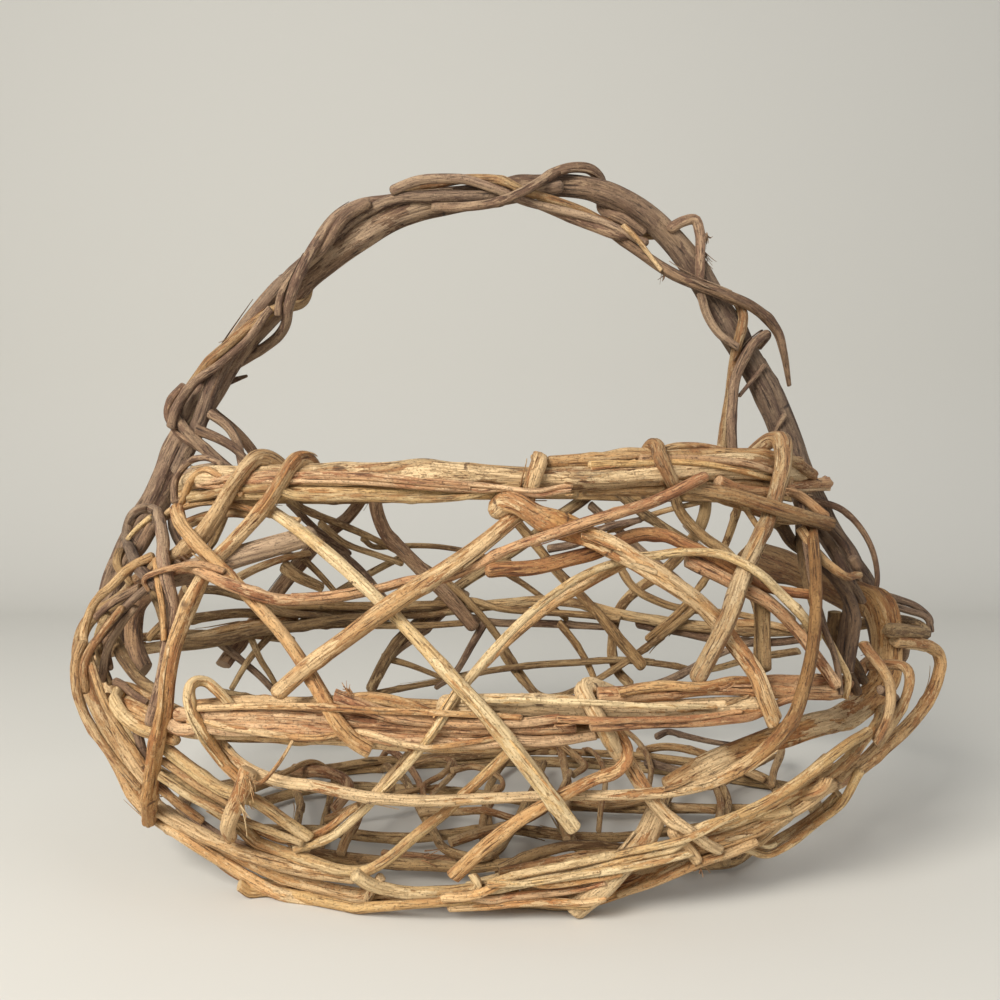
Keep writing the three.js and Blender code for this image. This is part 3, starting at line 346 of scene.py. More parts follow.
def read_run(node):
    """Middles and radii of a vine's rings, from its left end to its right end. What was
    pared away on the table leaves some rings with too few corners for a circle: those are
    left out, and so are those that come out too wide."""
    corners, triangles, edges = solid_corners(node)
    above = corners[:, 2] > weld_size
    ring = end_ring(corners, triangles, edges)
    number = steps_from(ring[above[ring]], edges[above[edges].all(axis=1)], len(corners))
    rings = [corners[number == i] for i in range(number.max() + 1)]
    fitted = [circle_through(places) for places in rings
              if len(places) >= least_corners]
    middles = np.array([middle for middle, _ in fitted])
    radii = np.array([radius for _, radius in fitted])
    sound = radii < widest_ring_share * np.median(radii)
    middles, radii = middles[sound], radii[sound]
    if middles[0, 0] > middles[-1, 0]:
        middles, radii = middles[::-1], radii[::-1]
    return middles, radii, len(rings) - len(radii)


cad_runs = {}
for node in frame["nodes"]:
    middles, radii, pared = read_run(node)
    cad_runs[node] = (middles, radii)
    length = np.linalg.norm(np.diff(middles, axis=0), axis=1).sum()
    print(f"{node}: {len(middles)} rings, {pared} left out, {length / millimetre:.0f} mm long,"
          f" radius {radii.min() / millimetre:.1f} to {radii.max() / millimetre:.1f} mm")

# %% [markdown]
# ## A line with a direction
# The rings of a CAD vine lie up to 30 mm apart, and a real vine has no corners there. A
# cubic runs through the middles, and every point on it gets two directions square to the
# vine. They are carried from point to point with the least turn, so that bark drawn in
# them doesn't twist where the vine bends.

# %% Smooth lines and their frames
row_size = 1.25 * millimetre
least_rows = 4


def smooth_line(points, values, step):
    """Points about one step apart on a curve through the given ones: a cubic between each
    two, with the slope of the chord past each point (Hermite form). Values go along."""
    lengths = np.linalg.norm(np.diff(points, axis=0), axis=1)
    places = np.concatenate([[0], np.cumsum(lengths)])
    slopes = np.gradient(points, places, axis=0)
    count = max(int(round(places[-1] / step)), least_rows)
    along = np.linspace(0, places[-1], count + 1)
    which = np.clip(np.searchsorted(places, along, "right") - 1, 0, len(lengths) - 1)
    span = lengths[which][:, None]
    t = (along - places[which])[:, None] / span
    line = ((2 * t ** 3 - 3 * t ** 2 + 1) * points[which]
            + (t ** 3 - 2 * t ** 2 + t) * span * slopes[which]
            + (3 * t ** 2 - 2 * t ** 3) * points[which + 1]
            + (t ** 3 - t ** 2) * span * slopes[which + 1])
    return line, along, np.interp(along, places, values)


def unit(vectors):
    """The same directions with a length of one."""
    return vectors / np.linalg.norm(vectors, axis=-1, keepdims=True)


def frames_along(line):
    """The direction of a line at each point and two directions square to it, each pair
    carried over from the last by the smallest turn (two mirrorings)."""
    forward = unit(np.gradient(line, axis=0))
    across = np.empty_like(line)
    least = np.eye(3)[np.abs(forward[0]).argmin()]
    across[0] = unit(np.cross(forward[0], least))
    for i in range(1, len(line)):
        chord = line[i] - line[i - 1]
        scale = 2 / chord.dot(chord)
        mirrored = across[i - 1] - scale * chord.dot(across[i - 1]) * chord
        direction = forward[i - 1] - scale * chord.dot(forward[i - 1]) * chord
        change = forward[i] - direction
        size = change.dot(change)
        if size > 0:
            mirrored = mirrored - 2 / size * change.dot(mirrored) * change
        across[i] = mirrored
    across = unit(across - (across * forward).sum(axis=1)[:, None] * forward)
    return forward, across, np.cross(forward, across)


bow_line, bow_along, bow_radii = smooth_line(*cad_runs["handle_bow"], row_size)
print("handle bow:", len(bow_line), "points,", round(bow_along[-1] / millimetre), "mm")

# %% [markdown]
# ## Relief of the bark
# A vine is a surface of two parameters: the length along it and the angle round it. Its
# radius there is the run's radius times one plus a relief: a slightly oval section that
# wanders to one side and the other, long ridges, furrows between them, and a knot every
# few centimetres, where a leaf once stood. Waves with whole counts round the vine meet
# themselves there, so no seam shows.

# %% Bark relief
knot_spacing = 42 * millimetre
wander_length = 26 * millimetre
bulge_share = 0.13
swell_share = 0.05
knot_reach_share = 0.9

# How many waves go round the vine, and the height of each as a share of its radius
ridge_shares = ((2, 0.05), (3, 0.035), (4, 0.02))
furrow_shares = ((5, 0.07), (8, 0.05), (13, 0.04))


def bark_relief(angle, along, radius, random):
    """How far bark stands out from a round vine, as a share of its radius: waves round the
    vine whose crests wander along it, folded waves for furrows, and a swelling with a bud
    scar on one side at each knot. Also how near each point is to a knot."""
    relief = np.zeros(np.broadcast(angle, along).shape)
    phase, start, pace = random.uniform(0, 2 * np.pi, 3)
    swell = np.sin(along / wander_length * (0.7 + pace / 8) + start)
    relief += bulge_share * np.cos(angle + phase + 1.6 * swell) + swell_share * swell
    for count, height_share in ridge_shares:
        phase, start, pace = random.uniform(0, 2 * np.pi, 3)
        drift = phase + 1.3 * np.sin(along / wander_length * (0.5 + pace / 8) + start)
        relief += height_share * np.cos(count * angle + drift)
    for count, height_share in furrow_shares:
        phase, start, pace = random.uniform(0, 2 * np.pi, 3)
        drift = phase + 0.9 * np.sin(along / wander_length * (0.6 + pace / 6) + start)
        fold = np.abs(np.cos(count * angle / 2 + drift))
        strength = 0.6 + 0.4 * np.sin(along / wander_length + phase)
        relief -= height_share * strength * (1 - fold) ** 2 * 2
    knot = np.zeros_like(relief)
    count = int(along.max() / knot_spacing)
    spots = (np.arange(count) + random.uniform(0.2, 0.8, count)) * knot_spacing
    for spot, turn, size in zip(spots, random.uniform(0, 2 * np.pi, count),
                                random.uniform(0.5, 1.0, count)):
        near = np.exp(-((along - spot) / (knot_reach_share * radius)) ** 2)
        scar = (0.5 + 0.5 * np.cos(angle - turn)) ** 4
        relief += size * near * (0.07 + 0.2 * scar)
        knot = np.maximum(knot, size * near * (0.25 + 0.75 * scar))
    return relief, knot


sample_angles = np.linspace(0, 2 * np.pi, 60)[None]
bow_relief, _ = bark_relief(
    sample_angles, bow_along[:, None], bow_radii.max(), np.random.default_rng(1))
print("relief of a sample, as shares:", bow_relief.min().round(2), bow_relief.max().round(2))

# %% [markdown]
# ## Meshes from whole arrays
# A skin is a grid of rings, closed at each end by a fan of triangles round a pole. The
# corner numbers follow from the counts of rings and sides alone, so numpy works them all
# out at once and hands them to the mesh, with the attributes that the bark reads.

# %% Faces and meshes
def grid_faces(rows, sides):
    """Corner numbers of the quads between closed rings, and of the triangles that join the
    first ring to the pole before it and the last ring to the pole after it."""
    row = np.arange(rows - 1)[:, None] * sides + 1
    side = np.arange(sides)[None]
    after = (side + 1) % sides
    quads = np.stack([row + side, row + after, row + sides + after, row + sides + side],
                     axis=-1).reshape(-1, 4)
    side, after = side[0], after[0]
    last = 1 + (rows - 1) * sides
    first_fan = np.stack([np.zeros_like(side), 1 + after, 1 + side], axis=-1)
    last_fan = np.stack([last + side, last + after, np.full_like(side, last + sides)], axis=-1)
    return quads, np.concatenate([first_fan, last_fan])


def make_mesh(name, corners, quads, triangles, attributes):
    """A mesh from whole arrays: corners, four-sided and three-sided faces, and vector
    attributes with one value for each corner."""
    mesh = bpy.data.meshes.new(name)
    order = np.concatenate([quads.reshape(-1), triangles.reshape(-1)]).astype(np.int32)
    sizes = np.concatenate([np.full(len(quads), 4), np.full(len(triangles), 3)])
    starts = np.concatenate([[0], np.cumsum(sizes)[:-1]]).astype(np.int32)
    mesh.vertices.add(len(corners))
    mesh.vertices.foreach_set("co", corners.astype(np.float32).reshape(-1))
    mesh.loops.add(len(order))
    mesh.loops.foreach_set("vertex_index", order)
    mesh.polygons.add(len(sizes))
    mesh.polygons.foreach_set("loop_start", starts)
    mesh.polygons.foreach_set("use_smooth", np.ones(len(sizes), dtype=bool))
    mesh.update(calc_edges=True)
    for title, values in attributes.items():
        layer = mesh.attributes.new(title, "FLOAT_VECTOR", "POINT")
        layer.data.foreach_set("vector", values.astype(np.float32).reshape(-1))
    return mesh


print("faces of 3 rings with 8 sides:", *(len(faces) for faces in grid_faces(3, 8)))

# %% [markdown]
# ## Skinning a vine
# Some ends of the vines are sawn and some are worn round. So the skin closes over a flatter
# or a rounder dome, in a few rings that shrink to one point, and the flat ones show pale
# wood with growth rings. Each vine has a look: a brightness, a warmth and a wear. The
# brightness and the warmth are partly the vine's own tone and partly painted light and shade.

# %% Ends and knots
ring_size = 1.3 * millimetre
steepest_slant = 0.45
lid_turns = np.array([0.2, 0.45, 0.72]) * np.pi / 2
lid_count = len(lid_turns)


def knots_right_round(knot, angle, along, ring_places, random):
    """How near each point is to a knot, with knots that go right round: a bell along the
    vine at each place, whose middle waves from side to side."""
    for place in ring_places:
        phase = random.uniform(0, 2 * np.pi)
        wave = ring_size * (0.8 * np.sin(angle + phase) + 0.5 * np.sin(3 * angle - phase))
        near = np.exp(-((along - place + wave) / ring_size) ** 2)
        knot = np.maximum(knot, near * (0.8 + 0.3 * np.sin(2 * angle + phase)))
    return knot


def with_lids(reach, angle, along, radii, domes, random):
    """The radius at each corner of all rings and how far it is pushed along the vine. Over
    an end, rings shrink by the cosine of a turn and rise by its sine times the dome's
    share. A cut also slants, and the slant fades out over the vine's width by a square."""
    slant = random.uniform(-steepest_slant, steepest_slant, (2, 2)) * (1 - domes)[:, None]
    tilt = slant[:, :1] * np.cos(angle) + slant[:, 1:] * np.sin(angle)
    near_ends = np.stack([along, along[-1] - along])
    ramps = np.clip(1 - near_ends / (2 * radii.max()), 0, 1)[..., None] ** 2
    shear = (ramps[1] * tilt[1] - ramps[0] * tilt[0]) * reach
    shrink = np.cos(lid_turns)[:, None]
    rise = (np.sin(lid_turns) * radii[[0, -1]][:, None] * domes[:, None])[..., None]
    first_rings, last_rings = shrink * reach[0], shrink * reach[-1]
    first_out = -rise[0] - first_rings * tilt[0]
    last_out = rise[1] + last_rings * tilt[1]
    radial = np.concatenate([first_rings[::-1], reach, last_rings])
    return radial, np.concatenate([first_out[::-1], shear, last_out])


print("an end closes at these shares of its radius:", np.cos(lid_turns).round(2))

# %% The whole skin
face_size = 0.95 * millimetre
table_gap = 0.05 * millimetre
grain_run = 8.0
least_sides = 8
usual_looks = ((0.78, 0.1, 0), (1.08, 0.8, 0.3))
warm_shares = np.array([0.1, -0.03, -0.2])
dome_shares = (0.22, 0.5, 0.85)


def corner_values(radial, angle, length, knot, domes, look):
    """The bark's attributes at each corner, with the poles first and last. Grain is the
    place on the straightened vine, marks are cut, knot and wear, and tint is the
    brightness times one plus the warmth's share of red, green and blue."""
    grain = np.stack([radial * np.cos(angle), radial * np.sin(angle), length], axis=-1)
    grain = np.concatenate(
        [[[0, 0, length[0, 0]]], grain.reshape(-1, 3), [[0, 0, length[-1, 0]]]])
    cut = np.zeros_like(radial)
    cut[:lid_count] = 1 - domes[0]
    cut[-lid_count:] = 1 - domes[1]
    marks = np.stack([cut.reshape(-1), knot.reshape(-1)], axis=-1)
    marks = np.concatenate([[[1 - domes[0], 0]], marks, [[1 - domes[1], 0]]])
    look = np.repeat(look, radial.shape[1], axis=0)
    look = np.concatenate([look[:1], look, look[-1:]])
    marks = np.concatenate([marks, look[:, 2:]], axis=1)
    tint = look[:, :1] * (1 + look[:, 1:2] * warm_shares)
    return {"grain": grain, "marks": marks, "tint": tint}


def vine_surface(line, along, radii, random, look=None, ring_places=(), frames=None,
                 flat_share=1):
    """Corners, faces and attributes of a vine's skin: each ring is the line's point plus
    the radius times the two directions square to the line, turned by the angle. The look is
    for the vine or for each of its points, ring_places says how far along a knot goes right
    round, and flat_share presses the section flat."""
    forward, across, upright = frames or frames_along(line)
    if look is None:
        look = random.uniform(*usual_looks)
    look = np.broadcast_to(look, (len(line), 3))
    sides = max(int(round(2 * np.pi * radii.max() / face_size)), least_sides)
    angle = (np.arange(sides) * 2 * np.pi / sides)[None]
    relief, knot = bark_relief(angle, along[:, None], radii.max(), random)
    knot = knots_right_round(knot, angle, along[:, None], ring_places, random)
    domes = random.choice(dome_shares, 2)
    reach = radii[:, None] * (1 + relief)
    radial, pushed = with_lids(reach, angle, along, radii, domes, random)
    row = np.clip(np.arange(-lid_count, len(line) + lid_count), 0, len(line) - 1)
    sideways = (across[row][:, None] * np.cos(angle)[..., None]
                + flat_share * upright[row][:, None] * np.sin(angle)[..., None])
    rings = (line[row][:, None] + radial[..., None] * sideways
             + pushed[..., None] * forward[row][:, None])
    poles = np.stack([line[0] - forward[0] * radii[0] * domes[0],
                      line[-1] + forward[-1] * radii[-1] * domes[1]])
    corners = np.concatenate([poles[:1], rings.reshape(-1, 3), poles[1:]])
    corners[:, 2] = np.maximum(corners[:, 2], table_gap)
    length = along[row][:, None] + pushed + random.uniform(0, grain_run)
    values = corner_values(radial, angle, length, knot[row], domes, look[row])
    return corners, *grid_faces(len(radial), sides), values


bow_skin = vine_surface(bow_line, bow_along, bow_radii, np.random.default_rng(1))
print("handle bow's skin:", len(bow_skin[0]), "corners,", len(bow_skin[1]), "quads")

# %% Pieces
made_triangles = 0


def add_piece(name, surfaces, slot, replaced=()):
    """One object from one or more closed skins, which rides on the basket's only body and
    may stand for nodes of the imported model."""
    global made_triangles
    corners, quads, triangles, shift = [], [], [], 0
    attributes = {"grain": [], "marks": [], "tint": []}
    for points, fours, threes, values in surfaces:
        corners.append(points)
        quads.append(fours + shift)
        triangles.append(threes + shift)
        shift += len(points)
        for title in attributes:
            attributes[title].append(values[title])
    mesh = make_mesh(name, np.concatenate(corners), np.concatenate(quads),
                     np.concatenate(triangles),
                     {title: np.concatenate(parts) for title, parts in attributes.items()})
    mesh.materials.append(bark_finishes[slot])
    piece = bpy.data.objects.new(name, mesh)
    bpy.context.scene.collection.objects.link(piece)
    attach(piece, "root")
    if replaced:
        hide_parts(*replaced)
    made_triangles += 2 * sum(map(len, quads)) + sum(map(len, triangles))


print("triangles before the first piece:", made_triangles)

# %% [markdown]
# ## Where a thin strand lies
# Between the sixty carrying vines, the basket is filled with thinner strands. They were
# placed on a picture of its front, 1000 pixels wide and high. A pixel is a line of
# sight from the camera, and the strand lies where that line meets the basket's wall, which
# is a rounded oval whose length and depth change with the height. The front wall is met
# first and the back wall last.

# %% Lines of sight and the wall
eye_distance = 465.5 * millimetre
eye_height = 155 * millimetre
focal_pixels = 1000.8
middle_pixel = 500
horizon_pixel = 487
basket_middle = np.array([3.6, -2.72, 0]) * millimetre
basket_length = 400 * millimetre
basket_depth = 245 * millimetre
rim_height = 155 * millimetre
wall_inset = 4.1 * millimetre
layer_step = 7 * millimetre
sight_steps = 1201
sight_share = 0.56

# Heights as shares of the rim's, each with the wall's length and depth there as shares
wall_shares = np.array([
    [-0.05, 0.66, 0.7], [0.0, 0.7, 0.79], [0.05, 0.75, 0.84], [0.13, 0.83, 0.895],
    [0.32, 0.95, 0.98], [0.5, 0.985, 1.0], [0.71, 0.94, 0.94], [1.0, 0.765, 0.8],
    [1.2, 0.7, 0.74]])
oval_power = 2.3


def along_sight(pixels, depth):
    """The point that a pixel shows at some depth behind the basket's middle plane."""
    reach = (eye_distance + depth) / focal_pixels
    across = (pixels[..., 0] - middle_pixel) * reach
    height = eye_height - (pixels[..., 1] - horizon_pixel) * reach
    return np.stack([across, np.broadcast_to(depth, across.shape), height], axis=-1)


def half_sizes(height, out):
    """Half length and half depth of the oval wall at a height, out layers further out."""
    share = np.clip(height / rim_height, wall_shares[0, 0], wall_shares[-1, 0])
    level = np.clip(np.searchsorted(wall_shares[:, 0], share, "right") - 1, 0,
                    len(wall_shares) - 2)
    low, high = wall_shares[level], wall_shares[level + 1]
    t = (share - low[..., 0]) / (high[..., 0] - low[..., 0])
    t = (t * t * (3 - 2 * t))[..., None]
    halves = (low + (high - low) * t)[..., 1:] * np.array([basket_length, basket_depth]) / 2
    return halves - wall_inset + out[..., None] * layer_step


def on_wall(pixels, out, side):
    """Where lines of sight meet the front wall (side -1) or the back wall (side 1)."""
    depth = np.linspace(side, -side, sight_steps) * basket_depth * sight_share
    places = along_sight(pixels[:, None], depth[None])
    halves = half_sizes(places[..., 2], np.broadcast_to(out[:, None], places.shape[:2]))
    inside = (np.abs(places[..., :2]) / halves) ** oval_power
    beyond = inside.sum(axis=-1) - 1
    met = beyond <= 0
    first = np.where(met.any(axis=1), met.argmax(axis=1), beyond.argmin(axis=1))
    return places[np.arange(len(pixels)), first]


def on_floor(pixels, out):
    """Where lines of sight meet the basket's floor, out layers above the table."""
    height = out * layer_step
    reach = (eye_height - height) / np.maximum(pixels[:, 1] - horizon_pixel, 1)
    return along_sight(pixels, reach * focal_pixels - eye_distance)


def strand_points(surface, layer, route):
    """Points of a strand in the row's frame. A place in the route may have a layer of its
    own after its pixel."""
    route = [place if len(place) == 3 else (*place, layer) for place in route]
    pixels, out = np.array(route, float)[:, :2], np.array(route, float)[:, 2]
    if surface == "front":
        points = on_wall(pixels, out, -1)
    elif surface == "back":
        points = on_wall(pixels, out, 1)
    elif surface == "floor":
        points = on_floor(pixels, out)
    else:
        points = along_sight(pixels, out * layer_step)
    return points - basket_middle


print("belly pixel:", strand_points("front", 0, [(500, 700)]) / millimetre)

# %% [markdown]
# ## The sixty vines
# Each CAD vine is skinned on its own run, so it stays exactly where the imported model has
# it, and takes the bark that the record names for it. Bark stands out a little from the
# solid, so the skins press into each other where two vines touch. Some vines differ from
# their bark's usual colour, along their whole length or from pixel to pixel: partly in a
# tone of their own, partly in painted shade, darker and warmer at the right end, and partly
# in painted light, brighter along the base. A few have a burl, a swelling that a knot rings.

# %% Widths, looks and burls of the CAD vines
bark_share = 1.06
width_shares = {
    "hook_left": 1.3, "hook_second": 1.15, "back_weaver_3": 1.2, "outer_left_sweep": 1.1,
    "foot_peg": 1.2, "outer_right_sweep": 1.25, "wedge_hook": 1.15, "knotty_brace": 1.22,
    "forked_vine": 1.04, "big_bend": 1.06, "rim_front_main": 1.16, "rim_hook": 1.4,
    "corner_hook": 1.24, "arching_strand": 0.78}

# Widths at four places along a vine, which are shares of its length
tip_place_shares = (0, 0.2, 0.75, 1)
even_shares = (1, 1, 1, 1)
tip_shares = {
    "belly_front_left": (0.8, 1, 1, 0.5), "wedge_hook": (1, 1.2, 0.95, 0.8),
    "rim_front_main": (0.8, 0.9, 1.1, 1), "handle_wrap_1": (0.3, 1, 1, 1),
    "handle_wrap_6": (1, 1, 1, 0.45), "long_brace_left": (1, 1, 1.05, 1.4)}

# Brightness, warmth and wear of a vine, or a list of pixels with the three at each. The
# brightness is partly the vine's own tone and partly painted light and shade: it is low, with
# more warmth, on the vines of the right end, where shade falls, and high on the vines of the
# base, where the light falls.
looks_and_painted_shading = {
    "forked_vine": [(310, 545, 1.4, 0.5, 0.7), (228, 568, 1.3, 0.8, 0.5),
                    (149, 598, 1.05, 1.2, 0.1), (144, 676, 0.7, 1.0, 0.0)],
    "left_post": [(138, 588, 0.7, 0.1, 0.0), (114, 550, 0.62, 0.0, 0.0),
                  (140, 506, 0.8, 0.0, 0.1), (158, 530, 1.35, 0.1, 0.3),
                  (163, 600, 1.3, 0.3, 0.3), (150, 722, 1.15, 0.5, 0.1)],
    # Painted shade: big_bend, swept_stake, rim_hook and right_sweep get darker and warmer where
    # they run into the shaded right end.
    "big_bend": [(790, 560, 0.26, 1.2, 0.0), (856, 590, 0.32, 1.4, 0.0),
                 (874, 625, 0.66, 1.6, 0.2), (868, 690, 0.7, 1.6, 0.1),
                 (850, 708, 0.9, 1.2, 0.5), (832, 718, 0.9, 1.2, 0.5),
                 (770, 732, 0.8, 1.4, 0.4), (752, 742, 0.86, 1.4, 0.1),
                 (735, 752, 0.7, 0.9, 0.0), (722, 760, 0.7, 0.8, 0.5),
                 (708, 768, 0.7, 0.8, 0.5), (690, 782, 0.8, 0.6, 0.1)],
    "handle_bow": [(150, 500, 0.9, 0.2, 0.0), (200, 400, 1.0, 0.2, 0.3),
                   (270, 290, 0.95, 0.5, 0.2), (312, 262, 0.8, 0.6, 0.1),
                   (332, 250, 0.85, 0.6, 0.45), (425, 206, 0.85, 0.6, 0.45),
                   (450, 200, 0.9, 0.4, 0.1),
                   (620, 205, 0.74, 0.4, 0.1), (740, 330, 0.64, 0.0, 0.0),
                   (780, 420, 0.6, 0.1, 0.0)],
    "hook_left": [(268, 455, 0.74, 0.1, 0.1), (208, 527, 0.84, 0.4, 0.1),
                  (150, 566, 0.8, 0.0, 0.0), (86, 616, 0.75, 0.0, 0.0),
                  (106, 712, 0.84, 0.1, 0.1), (172, 818, 1.0, 0.2, 0.3)],
    # Painted light: outer_left_sweep, base_front_left and base_front_right are brightened along the
    # base, where the light falls.
    "outer_left_sweep": [(80, 660, 0.76, 0.0, 0.0), (100, 730, 0.86, 0.1, 0.1),
                         (200, 850, 1.25, 0.3, 0.3), (336, 906, 1.3, 0.2, 0.6)],
    "base_front_left": (1.15, 0.5, 0.3), "base_front_right": (1.2, 0.5, 0.4),
    "swept_stake": [(806, 500, 0.5, 1.2, 0.0), (814, 600, 0.34, 2.2, 0.0),
                    (812, 650, 0.34, 2.2, 0.0), (786, 720, 0.5, 1.4, 0.0),
                    (740, 760, 0.85, 0.8, 0.3), (620, 784, 1.0, 0.3, 0.5)],
    "hook_second": [(318, 452, 0.82, 0.0, 0.1), (250, 540, 1.0, 0.4, 0.3),
                    (190, 620, 1.0, 0.3, 0.3), (166, 680, 0.86, 1.2, 0.1),
                    (150, 800, 0.86, 1.2, 0.1)],
    "knotty_brace": [(500, 505, 1.05, 0.2, 0.4), (540, 513, 1.05, 0.3, 0.3),
                     (554, 520, 0.8, 1.6, 0.0), (578, 534, 0.85, 1.4, 0.0),
                     (592, 545, 1.05, 0.4, 0.3), (740, 640, 1.02, 0.3, 0.35)],
    "back_weaver_3": (1.12, 0.8, 0.2),
    "rim_hook": [(690, 478, 0.72, 0.2, 0.1), (760, 498, 0.54, 0.7, 0.0),
                 (828, 524, 0.44, 1.0, 0.0)],
    "handle_wrap_2": (0.74, 0.2, 0.0), "handle_wrap_4": (0.74, 0.2, 0.0),
    "handle_tie_1": (0.74, -0.2, 0.1),
    "right_brace": [(738, 310, 0.8, -0.3, 0.0), (728, 400, 1.0, -0.2, 0.1),
                    (700, 566, 1.1, 0.1, 0.2)],
    "red_strand": (1.08, 0.3, 0.2),
    "right_sweep": [(480, 886, 1.1, 0.4, 0.3), (700, 836, 0.94, 0.5, 0.3),
                    (850, 742, 0.66, 1.0, 0.1), (887, 707, 0.58, 1.0, 0.1)],
    "rim_front_main": (0.9, -0.4, 0.4),
    "belly_front_left": (1.08, 0.1, 0.3), "belly_front_right": (1.08, 0.6, 0.6),
    "belly_left_hoop": (1.04, 0.3, 0.3), "outer_right_sweep": (1.0, 0.5, 0.2),
    "corner_hook": (0.82, -0.3, 0.1), "arching_strand": (1.0, 0.0, 0.3),
    "long_brace_right": (1.06, 0.0, 0.4), "wedge_hook": (1.1, 0.6, 0.6),
    "foot_peg": (1.12, 0.0, 0.5), "long_brace_left": (1.0, 0.3, 0.2),
    "belly_back_hoop": [(160, 642, 0.7, 0.5, 0.0), (250, 628, 0.75, 0.5, 0.0),
                        (330, 614, 1.0, 0.3, 0.2), (450, 600, 1.3, 0.2, 0.4),
                        (650, 612, 1.3, 0.2, 0.4), (800, 630, 0.9, 0.3, 0.1)],
    "floor_runner_1": (1.2, 0.3, 0.2), "floor_runner_2": (1.2, 0.3, 0.2),
    "floor_weave_1": (1.2, 0.3, 0.2), "floor_weave_2": (1.2, 0.3, 0.2),
    "base_back": (1.15, 0.2, 0.2),
}

# Pixel of each burl, its height as a share of the radius and its length in millimetres
burls = {
    "rim_front_main": [(425, 458, 0.38, 9), (470, 459, 0.06, 4), (650, 460, 0.14, 5)],
    "knotty_brace": [(560, 525, 0.3, 8), (505, 505, 0.16, 6), (610, 560, 0.08, 5)],
    "handle_bow": [(272, 286, 0.3, 24), (440, 200, 0.08, 8), (778, 410, 0.2, 50)],
    "belly_left_hoop": [(300, 736, 0.34, 7)],
    "belly_front_right": [(575, 706, 0.16, 8)],
    "wedge_hook": [(590, 690, 0.35, 5)],
    "big_bend": [(874, 612, 0.12, 8), (790, 730, 0.12, 8)],
    "hook_second": [(316, 450, 0.35, 8), (150, 800, 0.15, 4)],
    "right_brace": [(700, 566, 0.15, 6)],
    "corner_hook": [(735, 600, 0.1, 6)],
    "hook_left": [(196, 540, 0.1, 5)],
    "long_brace_right": [(440, 668, 0.06, 4), (355, 587, 0.06, 4)],
}
print("vines with a look:", len(looks_and_painted_shading), "with burls:", len(burls))

# %% Dress the CAD vines
def to_pixels(points):
    """The pixels where the picture shows some points of the basket."""
    places = points + basket_middle
    reach = (eye_distance + places[:, 1]) / focal_pixels
    return np.stack([middle_pixel + places[:, 0] / reach,
                     horizon_pixel + (eye_height - places[:, 2]) / reach], axis=1)


def nearest(line, x, y):
    """The number of the line's point that the picture shows nearest to a pixel."""
    return np.linalg.norm(to_pixels(line) - (x, y), axis=1).argmin()


def add_burls(line, along, radii, spots):
    """Radii with a bell-shaped swelling at the point nearest to each spot, and how far
    along the vine each swelling is."""
    places = [along[nearest(line, x, y)] for x, y, _, _ in spots]
    for place, (_, _, height_share, length) in zip(places, spots):
        near = np.exp(-((along - place) / (length * millimetre)) ** 2)
        radii = radii * (1 + height_share * near)
    return radii, places


def look_along(line, look):
    """The look of each point of a vine, where the table gives looks at some pixels."""
    if not isinstance(look, list):
        return look
    look = np.array(look)
    places = np.array([nearest(line, x, y) for x, y in look[:, :2]])
    order = places.argsort()
    rows = np.arange(len(line))
    return np.stack([np.interp(rows, places[order], look[order, i]) for i in (2, 3, 4)],
                    axis=1)


slot_of = {part["node"]: part["material_slot"] for part in frame["record"]["subparts"]}
dressed = {}
for seed, (node, (middles, radii)) in enumerate(sorted(cad_runs.items())):
    random = np.random.default_rng(seed)
    radii = radii * bark_share * width_shares.get(node, 1)
    radii[0], radii[-1] = radii[1], radii[-2]
    line, along, reach = smooth_line(middles, radii, row_size)
    reach, rings = add_burls(line, along, reach, burls.get(node, ()))
    reach = reach * np.interp(along / along[-1], tip_place_shares,
                              tip_shares.get(node, even_shares))
    look = look_along(line, looks_and_painted_shading.get(node))
    surface = vine_surface(line, along, reach, random, look, rings)
    add_piece(f"vine_{node}", [surface], slot_of[node], [node])
    dressed[node] = (line, along, reach)
print("vines:", len(dressed), "triangles:", made_triangles)

# %% [markdown]
# ## Pressing a strand against its neighbours
# A strand as listed cuts through the vines that it crosses. Each point of it that is
# too near a vine is moved straight away from it by what is lacking, and its two ends are
# also drawn in until they touch. Bark is soft, so strands may come a little closer than
# their radii. The moves are averaged along the strand, so that it bends round its
# neighbours, as a green vine does. A strand that is pressed counts as a neighbour of the
# next, so the order in which the tables below are laid matters.

# %% Press strands apart
press_rounds = 30
easing_rounds = 22
press_spacing = 2.5 * millimetre
spread_points = 9
contact_share = 0.84
laid_points = np.concatenate([line[::2] for line, _, _ in dressed.values()])
laid_radii = np.concatenate([radii[::2] for _, _, radii in dressed.values()])


def eased(moves, count):
    """Moves averaged along a line over count points, the middle ones counting most."""
    kernel = np.hanning(count + 2)[1:-1]
    kernel = kernel / kernel.sum()
    padded = np.pad(moves, ((count // 2,) * 2, (0, 0)), "edge")
    return np.stack([np.convolve(padded[:, i], kernel, "valid") for i in range(3)], axis=1)


